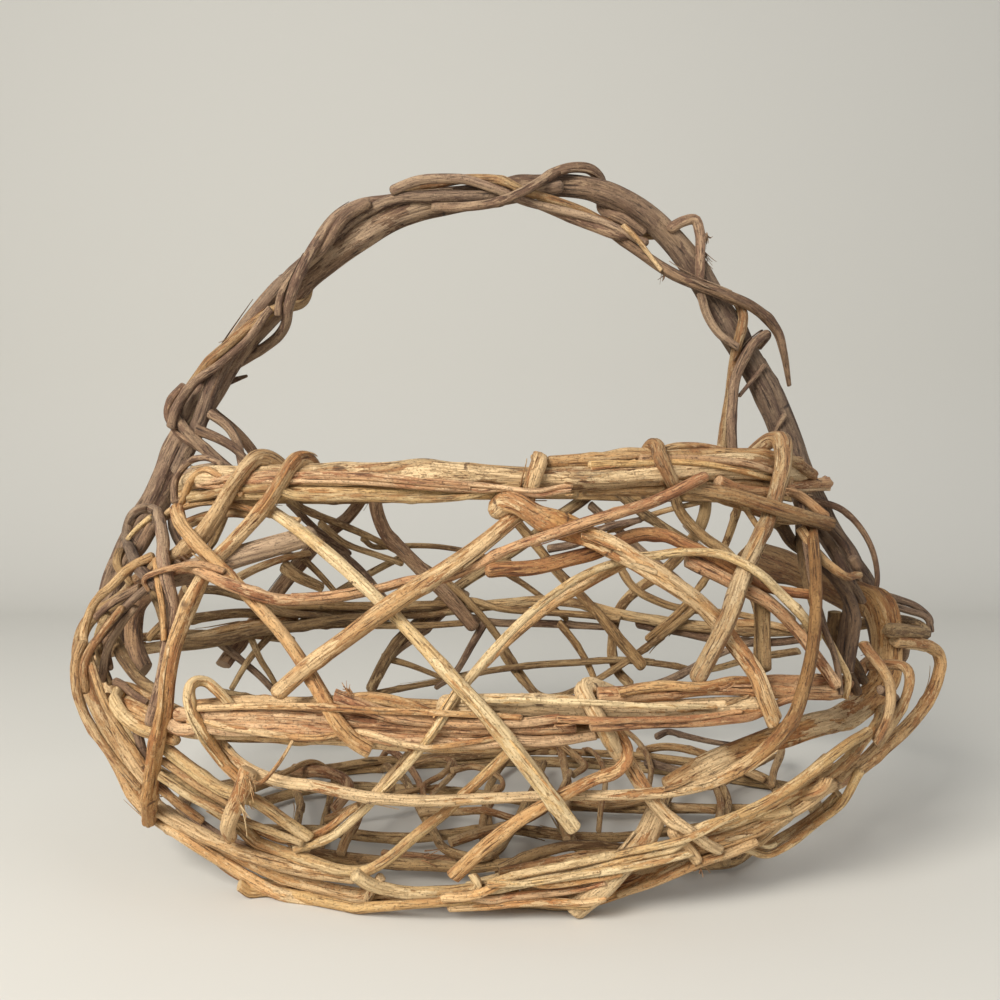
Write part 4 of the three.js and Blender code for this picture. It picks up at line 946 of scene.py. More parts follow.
def press(start, radius):
    """The line after rounds of moves away from what it overlaps. In the first rounds the
    whole move since the start is eased too, which takes the kinks out of it."""
    low, high = start.min(axis=0) - layer_step * 2, start.max(axis=0) + layer_step * 2
    near = ((laid_points > low) & (laid_points < high)).all(axis=1)
    points, radii = laid_points[near], laid_radii[near]
    if not len(points):
        return start
    rows = np.arange(len(start))
    moved = np.zeros_like(start)
    for turn in range(press_rounds):
        apart = (start + moved)[:, None] - points[None]
        distance = np.linalg.norm(apart, axis=2)
        lack = contact_share * (radius + radii[None]) - distance
        worst = lack.argmax(axis=1)
        push = lack[rows, worst]
        push[1:-1] = np.maximum(push[1:-1], 0)
        push[[0, -1]] = np.clip(push[[0, -1]], -layer_step / 4, None)
        away = apart[rows, worst] / np.maximum(distance[rows, worst], weld_size)[:, None]
        moved = moved + eased(away * push[:, None], spread_points)
        if turn < easing_rounds:
            moved = eased(moved, spread_points // 2 + 1)
    return start + moved


print("places on the CAD vines to press against:", len(laid_points))

# %% Add strands
strand_share = 1.1
tip_share = 0.75
table_share = 1.02
taupe, tan, straw, red, dark = bark_finishes

# Strands that lie on another surface than the rest of their table
other_surfaces = {
    "right_arc": "middle", "end_right_post": "middle", "end_right_stub": "middle",
    "end_right_stub_2": "middle", "end_back_2": "back", "rim_back_pale": "back",
    "belly_back_1": "back", "belly_back_2": "back", "belly_back_3": "back",
    "belly_back_4": "back", "belly_back_5": "back", "belly_back_6": "back"}


def lay_down(line, radii):
    """Count a finished strand among those that the next ones are pressed against."""
    global laid_points, laid_radii
    laid_points = np.concatenate([laid_points, line[::2]])
    laid_radii = np.concatenate([laid_radii, radii[::2]])


def add_strand(name, surface, slot, diameter, layer, route, look):
    """A thin strand through the places of its route, pressed against its neighbours."""
    random = np.random.default_rng([ord(letter) for letter in name])
    points = strand_points(surface, layer, route)
    radius = strand_share * diameter / 2 * millimetre
    line, along, _ = smooth_line(points, np.zeros(len(points)), press_spacing)
    line = press(line, radius)
    line[:, 2] = np.maximum(line[:, 2], radius * table_share)
    line, along, _ = smooth_line(line, np.zeros(len(line)), row_size)
    radii = radius * np.linspace(1, tip_share, len(line))
    lay_down(line, radii)
    add_piece(name, [vine_surface(line, along, radii, random, look_along(line, look))], slot)


def add_strands(surface, table, usual_look=None):
    """The strands of one table. A row holds the bark, the diameter in millimetres, the
    layer, the route and, where it isn't the usual one, the look."""
    for name, (slot, diameter, layer, route, *look) in table.items():
        add_strand(name, other_surfaces.get(name, surface), slot, diameter, layer, route,
                   look[0] if look else usual_look)
    print(f"{len(table)} strands, {made_triangles} triangles so far")


print("barks of the tables:", taupe, tan, straw, red, dark)

# %% [markdown]
# ## Strands of the rim
# The rim is a bundle: reddish and pale strands run along the stout rail, loop over the
# corners and end in ragged cuts.

# %% Rim strands
rim_strands = {
    "rim_pink_1": (red, 2.4, 1.0, [
        (200, 484), (250, 474), (300, 473), (360, 475), (420, 480), (480, 485), (530, 488),
        (570, 491)], (1.14, 0.0, 0.3)),
    "rim_pink_2": (red, 2.2, 1.0, [
        (192, 488), (250, 481), (300, 480), (360, 482), (420, 487), (480, 491), (530, 493),
        (572, 496)], (1.2, -0.1, 0.4)),
    "rim_pink_3": (red, 1.8, 1.1, [
        (230, 483), (300, 477), (360, 478), (420, 483), (470, 487)], (0.9, 0.2, 0.0)),
    "rim_low_left": (tan, 3.2, 0.3, [
        (150, 514), (180, 508), (210, 501), (236, 503), (262, 509), (300, 511)], (0.9, 0.5, 0.2)),
    "rim_pale": (straw, 3.6, 0.75, [
        (188, 492), (220, 493), (260, 492), (300, 495), (360, 497), (420, 500), (480, 500),
        (520, 497)]),
    "rim_upper_1": (tan, 3.0, 0.3, [
        (566, 464), (600, 456), (640, 449), (680, 446), (720, 450), (765, 460)]),
    "rim_upper_2": (red, 3.0, 0.9, [(640, 458), (690, 459), (730, 463), (768, 472), (800, 482)]),
    "rim_upper_3": (straw, 2.8, 0.7, [(590, 466), (640, 462), (690, 462), (740, 470), (780, 480)]),
    "rim_low_right": (tan, 4.0, 0.2, [
        (580, 480), (640, 482), (700, 480), (745, 482), (790, 494), (812, 500)]),
    "corner_loop_1": (taupe, 3.0, 0.4, [
        (175, 505), (176, 480), (188, 463), (205, 457), (222, 462)]),
    "corner_loop_2": (tan, 3.0, 0.9, [(178, 498), (190, 480), (206, 472), (224, 478), (240, 492)]),
    "corner_band_right": (red, 4.6, 0.7, [
        (717, 478), (742, 488), (765, 490), (790, 490), (812, 500), (822, 506)], (0.72, 1.0, 0.1)),
    "rim_back_pale": (tan, 4.4, -0.8, [
        (260, 486), (330, 484), (420, 482), (500, 482), (590, 483), (680, 486), (740, 490)]),
}
add_strands("front", rim_strands)

# %% [markdown]
# ## Strands of the belly
# A second bundle goes round the widest part. In front it is a stout rail with reddish
# strands over it, and behind it a few dark ones.

# %% Belly strands
belly_strands = {
    "belly_rail": (tan, 6.6, -0.9, [
        (375, 706), (420, 708), (470, 712), (540, 716), (600, 716), (660, 716), (700, 712)]),
    "belly_red_low": (red, 4.6, 0.4, [
        (150, 714), (190, 720), (240, 724), (300, 726), (350, 730), (400, 733), (450, 736),
        (500, 737), (545, 735), (600, 731)], (1.1, 0.2, 0.4)),
    "belly_pale_low": (straw, 3.6, -0.3, [
        (175, 727), (210, 737), (280, 740), (300, 742), (320, 738)]),
    "belly_dark_tuft": (red, 4.4, 0.9, [
        (338, 694), (356, 702), (380, 712), (407, 719), (463, 725), (520, 726), (560, 722)],
        (1.05, 0.2, 0.3)),
    "belly_fibre_1": (tan, 2.6, 1.0, [
        (200, 708), (250, 707), (320, 708), (380, 711), (450, 714), (520, 717)], (1.05, 0.5, 0.2)),
    "belly_fibre_2": (tan, 2.4, 1.0, [
        (186, 729), (240, 731), (310, 736), (380, 741), (450, 744), (510, 742)], (1.1, 0.2, 0.3)),
    "belly_fibre_3": (straw, 2.4, 1.2, [
        (460, 704), (520, 701), (590, 704), (660, 707), (720, 706)], (1.1, 0.4, 0.5)),
    "belly_fibre_4": (red, 2.6, 1.1, [
        (560, 718), (620, 720), (690, 719), (745, 714)], (1.0, 0.6, 0.1)),
    "belly_striped": (tan, 3.4, 0.6, [(617, 696), (660, 687), (700, 682), (740, 676), (760, 678)]),
    "belly_striped_low": (red, 3.2, 0.9, [
        (590, 722), (640, 724), (700, 722), (760, 712), (800, 700)]),
    "belly_right": (red, 5.6, -0.8, [
        (745, 690), (770, 684), (800, 685), (850, 690)], (0.8, 0.6, 0.1)),
    "belly_left_pale": (straw, 5.4, 0.4, [
        (102, 668), (108, 685), (118, 698), (132, 712), (147, 723), (177, 732)]),
    "belly_left_thin": (taupe, 3.0, -0.4, [(110, 676), (128, 688), (150, 696)]),
    "belly_back_1": (dark, 5.0, -0.7, [
        (280, 604), (350, 606), (430, 606), (500, 610), (560, 613), (620, 616)]),
    "belly_back_2": (taupe, 4.6, 0.6, [(463, 622), (500, 624), (540, 624), (580, 626), (608, 628)]),
    "belly_back_3": (dark, 4.6, -0.6, [(280, 627), (340, 624), (430, 626), (463, 623)]),
    "belly_back_4": (dark, 6.6, -0.9, [
        (185, 646), (220, 641), (260, 632), (300, 626), (345, 620), (400, 616)], (0.66, 0.5, 0.0)),
    "belly_back_5": (taupe, 5.6, 0.3, [(640, 622), (680, 630), (720, 640), (780, 643), (806, 640)]),
    "belly_fill_1": (tan, 5.4, -0.7, [
        (112, 690), (150, 706), (200, 722), (260, 724), (330, 724), (400, 730), (470, 732),
        (560, 730), (612, 726)]),
    "belly_fill_2": (tan, 5.0, -0.5, [
        (190, 707), (230, 706), (260, 706), (330, 706), (400, 708), (460, 710)], (1.0, 0.4, 0.2)),
    "belly_back_6": (tan, 4.6, -0.7, [(740, 620), (770, 627), (806, 636)]),
}
add_strands("front", belly_strands)

# %% [markdown]
# ## Strands of the front
# The front wall shows the most: a red vine with a rounded tip in the middle, a torn stake
# low on the right, thin strands beside the carrying vines, and a tangle where the handle's
# right foot goes down into the belly, darkened with painted shade.

# %% Front strands
front_strands = {
    "red_tip": (red, 5.2, -0.4, [
        (497, 586), (533, 573), (567, 560), (595, 552), (620, 541), (642, 536), (662, 540),
        (688, 560), (735, 578), (765, 590), (806, 602)], (0.72, 1.5, 0.0)),
    "low_stake": (tan, 5.0, -0.6, [
        (636, 768), (650, 795, 0.0), (667, 817, 0.6), (692, 834, 1.4), (709, 846, 1.7),
        (720, 851, 1.7)], (1.05, 0.2, 0.4)),
    "low_torn": (tan, 5.2, 1.6, [
        (678, 834, 0.9), (691, 853, 1.4), (701, 869, 1.8)], (0.95, 1.0, 0.3)),
    "right_arc": (taupe, 3.0, -0.6, [
        (812, 500), (842, 510), (862, 530), (874, 556), (875, 582), (868, 600)]),
    "corner_strand": (tan, 3.4, -0.3, [
        (690, 485), (717, 497), (740, 505), (780, 520), (817, 528), (828, 534)]),
    "diagonal_strand": (tan, 3.6, -0.9, [
        (622, 565), (590, 582), (550, 606), (510, 640), (470, 682), (430, 728), (396, 768),
        (368, 796)]),
    "red_overlay": (red, 2.6, 1.2, [
        (223, 573), (193, 567), (173, 570), (153, 577), (138, 587), (130, 600), (128, 615)]),
    "post_strand": (tan, 2.6, 0.8, [(158, 560), (164, 600), (163, 640)]),
    "corner_diagonal_1": (tan, 2.8, -0.4, [(725, 487), (733, 500), (742, 513), (753, 530)]),
    "corner_diagonal_2": (taupe, 2.8, 0.3, [
        (800, 500), (806, 540), (812, 580), (822, 620), (838, 658), (848, 695)], (0.75, 0.6, 0.0)),
    "right_inner": (straw, 3.0, -0.4, [
        (822, 632), (838, 658), (850, 682), (848, 700)], (0.8, 0.4, 0.1)),
    # Painted shade: the right_bend and right_fill strands lie in the shaded right end, and their
    # low brightness and high warmth stand in for its shade.
    "right_bend_1": (taupe, 5.0, -0.2, [
        (822, 520), (845, 545), (862, 575), (880, 600)], (0.52, 0.8, 0.0)),
    "right_bend_2": (tan, 3.8, 0.8, [
        (806, 528), (826, 556), (846, 580), (868, 604)], (0.75, 0.4, 0.1)),
    "right_fill_1": (dark, 5.6, -1.6, [
        (804, 500), (803, 540), (806, 580), (812, 612)], (0.42, 1.0, 0.0)),
    "right_fill_2": (taupe, 5.2, -1.0, [
        (812, 556), (836, 580), (856, 606), (868, 640)], (0.44, 1.0, 0.0)),
    "right_fill_3": (dark, 5.0, -1.8, [
        (770, 524), (796, 536), (826, 560), (850, 596)], (0.44, 1.0, 0.0)),
    "right_fill_4": (taupe, 4.6, -1.6, [
        (858, 604), (846, 634), (842, 664), (850, 694)], (0.36, 1.4, 0.0)),
    "right_fill_5": (dark, 5.0, -2.2, [
        (830, 610), (836, 640), (858, 662), (880, 676)], (0.38, 1.4, 0.0)),
    "right_fill_6": (taupe, 4.0, -0.6, [
        (826, 520), (838, 552), (856, 584), (876, 606)], (0.52, 0.8, 0.0)),
    "right_between_1": (tan, 4.2, 0.6, [
        (893, 648), (898, 676), (888, 712), (870, 742)], (0.82, 0.3, 0.1)),
    "right_between_2": (taupe, 3.6, 0.2, [(886, 690), (904, 696), (920, 704)], (0.75, 0.3, 0.0)),
    "right_between_3": (tan, 4.0, 0.2, [
        (916, 640), (915, 672), (902, 708), (880, 744), (850, 776)], (0.8, 0.3, 0.0)),
    "dark_stub": (dark, 6.0, -1.2, [(758, 596), (758, 624), (757, 652)]),
}
add_strands("front", front_strands)

# %% [markdown]
# ## Strands of the base
# The base is the densest bundle. Pale strands sweep under the front from the left end to
# the right and rest on the table.

# %% Base strands
base_strands = {
    "base_pale_1": (straw, 4.8, 0.4, [
        (158, 742), (190, 770), (222, 792), (255, 802), (280, 818), (306, 834)]),
    "base_pale_2": (straw, 3.4, 0.9, [(160, 778), (193, 800), (227, 816), (262, 830), (300, 846)]),
    "base_thin_3": (tan, 2.8, 0.5, [(160, 763), (203, 792), (240, 812)]),
    "base_sweep_5": (straw, 3.8, 1.6, [
        (240, 884), (267, 898), (300, 906), (340, 908, 1.8), (373, 908, 2.0), (420, 906, 2.2),
        (462, 905, 2.3), (505, 904, 2.3)]),
    "base_sweep_6": (tan, 4.2, 0.9, [
        (200, 862), (240, 880), (280, 893), (330, 899), (380, 901), (440, 899), (480, 897)]),
    "base_strand_7": (tan, 3.0, -0.2, [(247, 827), (290, 842), (313, 837), (358, 807)]),
    "base_strand_8": (straw, 4.4, 1.4, [
        (352, 872), (376, 886), (402, 895), (430, 899, 1.7), (460, 900, 2.0), (477, 890, 2.0),
        (470, 876, 1.4)]),
    "base_right_2": (straw, 2.6, 1.7, [(490, 904), (540, 904), (590, 900)]),
    "base_right_3": (dark, 4.0, -0.8, [(500, 868), (533, 855), (567, 847), (630, 849)]),
    "base_right_4": (tan, 3.4, 0.3, [(500, 878), (540, 868), (600, 854), (640, 852)]),
    "base_right_5": (straw, 3.6, 1.3, [
        # Painted shade and light: base_right_5 is darker at the right end, where shade falls, and
        # brighter along the lit base.
        (877, 714), (850, 742), (817, 770), (780, 796), (740, 818), (700, 836), (660, 852),
        (620, 865), (580, 875), (540, 881), (480, 888)], [(877, 714, 0.62, 1.0, 0.1),
        (800, 780, 0.85, 0.6, 0.2), (700, 836, 1.0, 0.4, 0.3), (480, 888, 1.2, 0.4, 0.3)]),
    "base_right_6": (tan, 4.8, 0.8, [(825, 775), (803, 807), (797, 818), (783, 828), (762, 845)]),
    "base_right_7": (straw, 3.6, 0.9, [(787, 816), (742, 838), (722, 850), (690, 866)]),
    "base_right_8": (tan, 3.4, 1.5, [
        (756, 846), (733, 855), (704, 864), (678, 876), (650, 889), (621, 900)]),
    "base_right_9": (straw, 3.2, 0.5, [
        (864, 774), (840, 802), (817, 822), (790, 846), (770, 856), (750, 852), (729, 848)]),
    "base_stub": (tan, 3.4, 1.0, [(382, 880), (370, 900), (360, 918)]),
    # Painted light: the bundle strands along the front of the base are brightened where the light
    # falls.
    "base_bundle_1": (straw, 3.0, 1.6, [
        (462, 893), (478, 888), (520, 876), (570, 866), (620, 855), (680, 840), (736, 814)],
        (1.0, 0.2, 0.2)),
    "base_bundle_2": (straw, 3.2, 1.8, [
        (452, 897), (480, 891), (530, 883), (580, 875), (630, 864), (690, 851)], (1.1, 0.0, 0.5)),
    "base_bundle_3": (tan, 3.2, 1.9, [
        (448, 896), (470, 893), (500, 890), (530, 889), (580, 882), (620, 874)], (1.15, 0.8, 0.2)),
    "base_bundle_4": (red, 3.2, 1.9, [
        (440, 903), (468, 899), (500, 898), (530, 897), (575, 892), (606, 884)], (1.25, 0.5, 0.3)),
    "base_bundle_5": (tan, 3.2, 1.8, [
        (450, 906), (476, 904), (505, 904), (540, 904), (580, 900), (604, 895)], (1.3, 0.5, 0.3)),
    "base_bundle_6": (straw, 2.2, 2.1, [
        (490, 888), (530, 886), (570, 879), (600, 874)], (1.1, 0.3, 0.3)),
    "torn_wrap": (tan, 6.6, 1.3, [(243, 768), (239, 788), (232, 812), (225, 842)], (1.0, 0.5, 0.3)),
    "tendril_1": (tan, 1.6, 1.6, [(243, 780), (257, 787), (270, 777), (281, 764), (288, 753)]),
    "base_left_2": (taupe, 3.4, 0.2, [(130, 740), (150, 772), (176, 806), (212, 836), (250, 852)]),
}
add_strands("front", base_strands)

# %% [markdown]
# ## Strands of the left end
# The left end is a tangle of dark loops that hook round the handle's foot.

# %% Left end strands
end_strands = {
    "end_pale_arc": (straw, 2.8, 0.7, [(143, 520), (132, 530), (123, 540)]),
    "end_blade": (taupe, 5.2, -0.3, [(152, 530), (138, 544), (124, 558)]),
    "end_dark_2": (dark, 3.8, 0.4, [(118, 553), (107, 570), (101, 584), (99, 596)]),
    "end_loop_3": (tan, 3.8, 0.6, [
        (153, 557), (117, 583), (90, 610), (83, 632), (90, 664), (101, 694), (118, 727), (137, 753),
        (144, 764)]),
    "end_strand_4": (taupe, 3.2, 0.3, [(130, 590), (110, 604), (96, 620)]),
    "end_strand_5": (dark, 3.8, -0.4, [(112, 617), (98, 640), (98, 662), (102, 678)]),
    "end_strand_6": (taupe, 3.0, -0.8, [(120, 620), (108, 648), (112, 668)]),
    "end_outer_7": (tan, 3.6, 1.1, [
        (84, 640), (76, 668), (78, 700), (92, 730), (110, 758), (132, 786)], (0.84, 0.2, 0.1)),
    "end_outer_9": (tan, 3.6, 0.3, [
        (100, 700), (116, 736), (140, 768), (168, 796), (200, 820)], (0.9, 0.3, 0.1)),
    "end_diagonal_1": (taupe, 3.6, 0.2, [(94, 644), (110, 624), (130, 601), (148, 584)]),
    "end_diagonal_2": (taupe, 3.4, -0.2, [(98, 682), (106, 652), (122, 628), (138, 612)]),
    "end_diagonal_3": (tan, 3.4, 0.7, [
        (84, 694), (90, 662), (104, 632), (120, 610)], (0.86, 0.2, 0.1)),
    "end_right_post": (taupe, 4.2, 1.5, [(911, 640), (910, 662), (906, 690)]),
    "end_right_stub": (taupe, 4.0, 0.8, [
        (872, 594), (896, 600), (918, 609), (932, 624), (936, 646)], (0.8, 0.2, 0.0)),
    "end_right_stub_2": (taupe, 3.6, 0.2, [
        (884, 604), (904, 612), (922, 622), (930, 640)], (0.75, 0.2, 0.0)),
    "end_left_fill_1": (taupe, 4.2, -0.4, [
        (166, 516), (174, 534), (182, 552), (184, 572)], (0.8, 0.3, 0.1)),
    "end_left_fill_2": (tan, 4.4, -0.8, [
        (184, 524), (206, 516), (232, 514), (256, 520)], (0.8, 0.5, 0.1)),
    "end_left_fill_3": (dark, 5.0, -1.4, [
        (150, 560), (160, 592), (166, 626), (164, 660)], (0.7, 0.3, 0.0)),
    "end_left_fill_4": (dark, 4.6, -1.0, [
        (112, 640), (124, 664), (142, 684), (168, 698)], (0.8, 0.3, 0.0)),
    "end_back_2": (dark, 4.0, -0.4, [(160, 640), (176, 610), (190, 575), (214, 540), (232, 506)]),
}
add_strands("front", end_strands)

# %% [markdown]
# ## Strands of the back
# Through the gaps of the front, the back wall shows as a darker lattice of crossing
# strands.

# %% Back strands
back_strands = {
    "back_arc": (dark, 3.2, 0.3, [(350, 557), (400, 547), (440, 547), (480, 555), (520, 577)]),
    "back_diagonal_1": (taupe, 4.4, 0.3, [(328, 545), (355, 564), (384, 585)]),
    "back_diagonal_2": (dark, 3.6, -0.5, [(302, 562), (322, 576), (342, 590)]),
    "back_diagonal_3": (dark, 7.0, -0.9, [(272, 562), (296, 576), (320, 588)]),
    "back_diagonal_4": (taupe, 4.6, 0.9, [
        (593, 508), (625, 537), (657, 565), (690, 592), (716, 624)]),
    "back_thin_5": (tan, 3.6, 0.2, [(600, 537), (660, 512), (700, 503)]),
    "back_diagonal_6": (dark, 3.8, 0.4, [(500, 645), (516, 668), (530, 690), (548, 716)]),
    "back_diagonal_7": (taupe, 4.4, -0.5, [(487, 623), (470, 650), (456, 675), (440, 700)]),
    "back_low_8": (dark, 4.0, 0.3, [(380, 656), (410, 666), (444, 680)]),
    "back_low_9": (taupe, 4.4, 0.5, [(217, 648), (247, 666), (280, 686)]),
    "back_low_10": (dark, 3.4, -0.3, [(250, 640), (262, 660), (290, 676)]),
    "back_low_11": (dark, 4.2, 0.2, [(270, 634), (248, 660), (230, 690)]),
    "back_low_12": (dark, 4.4, 0.5, [(560, 622), (578, 646), (594, 676), (604, 706)]),
    "back_rail_1": (dark, 5.4, 0.4, [
        (166, 622), (200, 618), (250, 612), (300, 610), (340, 612), (380, 616)], (0.9, 0.3, 0.1)),
    "back_rail_2": (dark, 4.8, -0.5, [
        (180, 588), (215, 590), (250, 599), (290, 611), (330, 618)], (0.85, 0.3, 0.0)),
    "back_rail_3": (tan, 4.6, 0.3, [
        (226, 574), (256, 566), (284, 558), (310, 552)], (0.8, 0.4, 0.2)),
    "back_rail_4": (dark, 4.2, -0.8, [(318, 526), (344, 544), (370, 556), (392, 572)]),
    "back_rail_5": (taupe, 4.0, 0.5, [(288, 506), (304, 520), (322, 536), (346, 556)]),
    "back_rail_6": (dark, 4.8, 0.5, [(600, 560), (640, 588), (672, 606), (712, 612), (760, 610)]),
    "back_rail_7": (taupe, 4.4, -0.4, [
        (548, 550), (576, 544), (606, 528), (640, 520)], (0.9, 0.2, 0.0)),
    "back_cross_13": (dark, 4.6, 0.8, [(300, 620), (340, 592), (384, 566), (404, 556)]),
    "back_thick": (taupe, 6.4, 0.9, [
        (462, 588), (440, 606), (410, 632), (388, 656), (378, 678)], (0.9, 0.6, 0.2)),
    "back_cross_14": (taupe, 4.2, -0.3, [(640, 700), (680, 676), (716, 656), (760, 640)]),
    "back_cross_15": (dark, 4.0, 0.5, [(486, 560), (508, 574), (536, 593), (566, 616)]),
    "back_cross_16": (dark, 4.6, -0.4, [
        (740, 500), (726, 540), (704, 580), (676, 616), (650, 640)]),
}
add_strands("back", back_strands)

# %% [markdown]
# ## Strands of the floor
# The floor is a loose mat of curls, which keeps small things in the basket. It lies on
# the runners, just above the table.

# %% Floor strands
floor_look = (0.84, 0.3, 0.1)
floor_strands = {
    "floor_2": (red, 6.4, 1.8, [(298, 766), (330, 774), (366, 792)]),
    "floor_3": (tan, 3.2, 2.2, [(424, 752), (446, 758), (442, 776), (424, 786), (430, 800)]),
    "floor_4": (tan, 3.2, 1.9, [(463, 763), (446, 782), (430, 797), (420, 812)]),
    "floor_5": (tan, 3.0, 2.3, [
        (452, 772), (470, 768), (496, 776), (500, 792), (482, 800), (462, 796)]),
    "floor_6": (tan, 4.2, 1.9, [(490, 793), (484, 820), (478, 850)]),
    "floor_7": (tan, 4.4, 1.9, [(555, 730), (562, 756), (567, 783), (565, 812), (560, 840)]),
    "floor_8": (tan, 4.2, 2.1, [(540, 736), (566, 752), (604, 774)]),
    "floor_9": (taupe, 4.0, 1.9, [(630, 756), (677, 773), (716, 786)]),
    "floor_10": (tan, 4.0, 2.0, [(640, 740), (700, 753), (748, 772)]),
    "floor_11": (tan, 3.4, 1.6, [(720, 790), (722, 812), (716, 836)]),
    "floor_13": (tan, 3.2, 1.9, [(340, 800), (390, 796), (436, 786)]),
    "floor_14": (tan, 3.6, 1.9, [(410, 816), (460, 816), (518, 824)]),
    "floor_16": (red, 5.0, 1.2, [(392, 850), (420, 860), (452, 866)]),
    "floor_17": (tan, 4.2, 1.9, [(786, 742), (780, 760), (770, 780)]),
    "floor_20": (tan, 4.2, 1.4, [(560, 800), (610, 806), (660, 802), (712, 812)]),
    "floor_22": (tan, 3.8, 2.1, [(450, 846), (490, 836), (530, 820), (560, 798), (570, 776)]),
    "floor_24": (tan, 3.6, 2.2, [(330, 850), (352, 830), (366, 806), (392, 790)]),
    "floor_25": (tan, 3.2, 2.0, [(618, 724), (640, 744), (652, 768), (648, 792)]),
    "floor_26": (taupe, 3.4, 2.2, [(660, 726), (690, 738), (724, 744), (758, 742)]),
    "floor_27": (tan, 3.0, 1.6, [(700, 790), (730, 778), (762, 764), (790, 744)]),
    "floor_28": (tan, 3.4, 2.0, [(250, 790), (280, 776), (316, 764), (350, 760)]),
    "floor_29": (red, 3.6, 1.7, [(380, 742), (402, 760), (420, 784), (426, 812)]),
    "floor_30": (tan, 3.0, 2.3, [(584, 742), (600, 762), (606, 786), (598, 812)]),
    "floor_31": (tan, 3.2, 1.5, [(480, 745), (512, 752), (548, 748), (580, 756)]),
}
add_strands("floor", floor_strands, floor_look)

# %% [markdown]
# ## Strands of the handle
# The bow is wrapped in thinner vines, some with stubs of twigs, and their loose ends hang
# at its right shoulder.

# %% Handle strands
handle_strands = {
    "handle_bundle_1": (taupe, 4.2, -1.2, [
        (395, 197), (419, 184), (445, 179), (467, 178), (495, 184), (529, 196), (552, 203),
        (575, 212), (598, 221), (621, 230), (645, 240)], (1.1, 0.1, 0.2)),
    "handle_bundle_2": (taupe, 4.4, -0.9, [
        (538, 204), (571, 217), (598, 228), (621, 238), (645, 246)]),
    "handle_bark_strip": (tan, 2.4, -1.6, [(626, 222), (638, 238), (652, 258), (661, 270)]),
    "handle_loop_1": (taupe, 5.2, -0.8, [
        (670, 230), (682, 223), (694, 221), (699, 233), (699, 258), (697, 284)], (1.15, 0.4, 0.2)),
    "handle_loop_2": (taupe, 3.8, -1.3, [(700, 296), (707, 316), (720, 334), (738, 346)]),
    "handle_twig_1": (taupe, 2.4, -1.2, [(770, 364), (758, 380), (747, 396)]),
    "handle_twig_2": (taupe, 2.8, -0.8, [(778, 418), (769, 429), (761, 438)]),
    "handle_left_1": (taupe, 4.4, -1.9, [
        (362, 196), (342, 212), (322, 238), (304, 262), (288, 290), (282, 318)]),
    "handle_left_2": (taupe, 4.6, -1.6, [
        (178, 430), (184, 402), (198, 376), (222, 356), (246, 338), (262, 322), (276, 310)]),
    "handle_hook": (taupe, 3.8, -1.6, [
        (186, 387), (173, 400), (170, 411), (179, 426), (192, 437), (210, 452), (226, 466),
        (236, 480)]),
    "handle_foot_1": (taupe, 4.4, -1.4, [(212, 415), (232, 428), (246, 443), (258, 458)]),
    "handle_foot_2": (taupe, 4.4, -2.0, [(200, 428), (223, 441), (238, 452), (252, 466)]),
    "handle_right_2": (taupe, 3.8, 1.3, [
        (640, 214), (668, 240), (694, 268), (716, 300), (742, 340), (764, 378)]),
    "handle_right_3": (taupe, 4.6, 1.5, [
        (764, 360), (782, 400), (796, 440), (806, 476), (816, 510)]),
    "handle_back_1": (taupe, 4.6, 1.7, [
        (176, 462), (196, 420), (222, 378), (250, 338), (284, 300), (320, 268), (360, 240)]),
}
add_strands("middle", handle_strands)

# %% [markdown]
# ## Torn fibres
# Where a vine was torn rather than cut, its bark ends in a brush of fibres. Each fibre is
# a thin tapering skin on a short arc: its start is a little off the middle of the tuft,
# its direction a little off the tuft's, and it bends to one side by the square of the
# length gone.

# %% Tufts
fibre_points = 9
finest_fibre = 0.16 * millimetre
stoutest_fibre = 0.4 * millimetre
spread_share = 0.16
table_clearance = 4 * table_gap


def add_tuft(name, slot, surface, layer, pixel, count, length, lean):
    """A brush of fibres at a pixel, about length millimetres long, which lean to the right
    and upwards by the two shares of lean."""
    random = np.random.default_rng([ord(letter) for letter in name])
    middle = strand_points(surface, layer, [pixel])[0]
    t = np.linspace(0, 1, fibre_points)[:, None]
    skins = []
    for _ in range(count):
        start = middle + random.normal(0, 1, 3) * length * spread_share * millimetre
        direction = np.array([lean[0], 0, lean[1]]) + random.normal(0, 0.15, 3)
        bend = random.normal(0, 0.3, 3)
        reach = length * random.uniform(0.4, 1.1) * millimetre
        line = start + reach * (t * direction + t ** 2 * bend)
        line[:, 2] = np.maximum(line[:, 2], table_clearance)
        along = t[:, 0] * reach
        radii = random.uniform(finest_fibre, stoutest_fibre) * (1 - 0.6 * t[:, 0])
        skins.append(vine_surface(line, along, radii, random))
    add_piece(name, skins, slot)


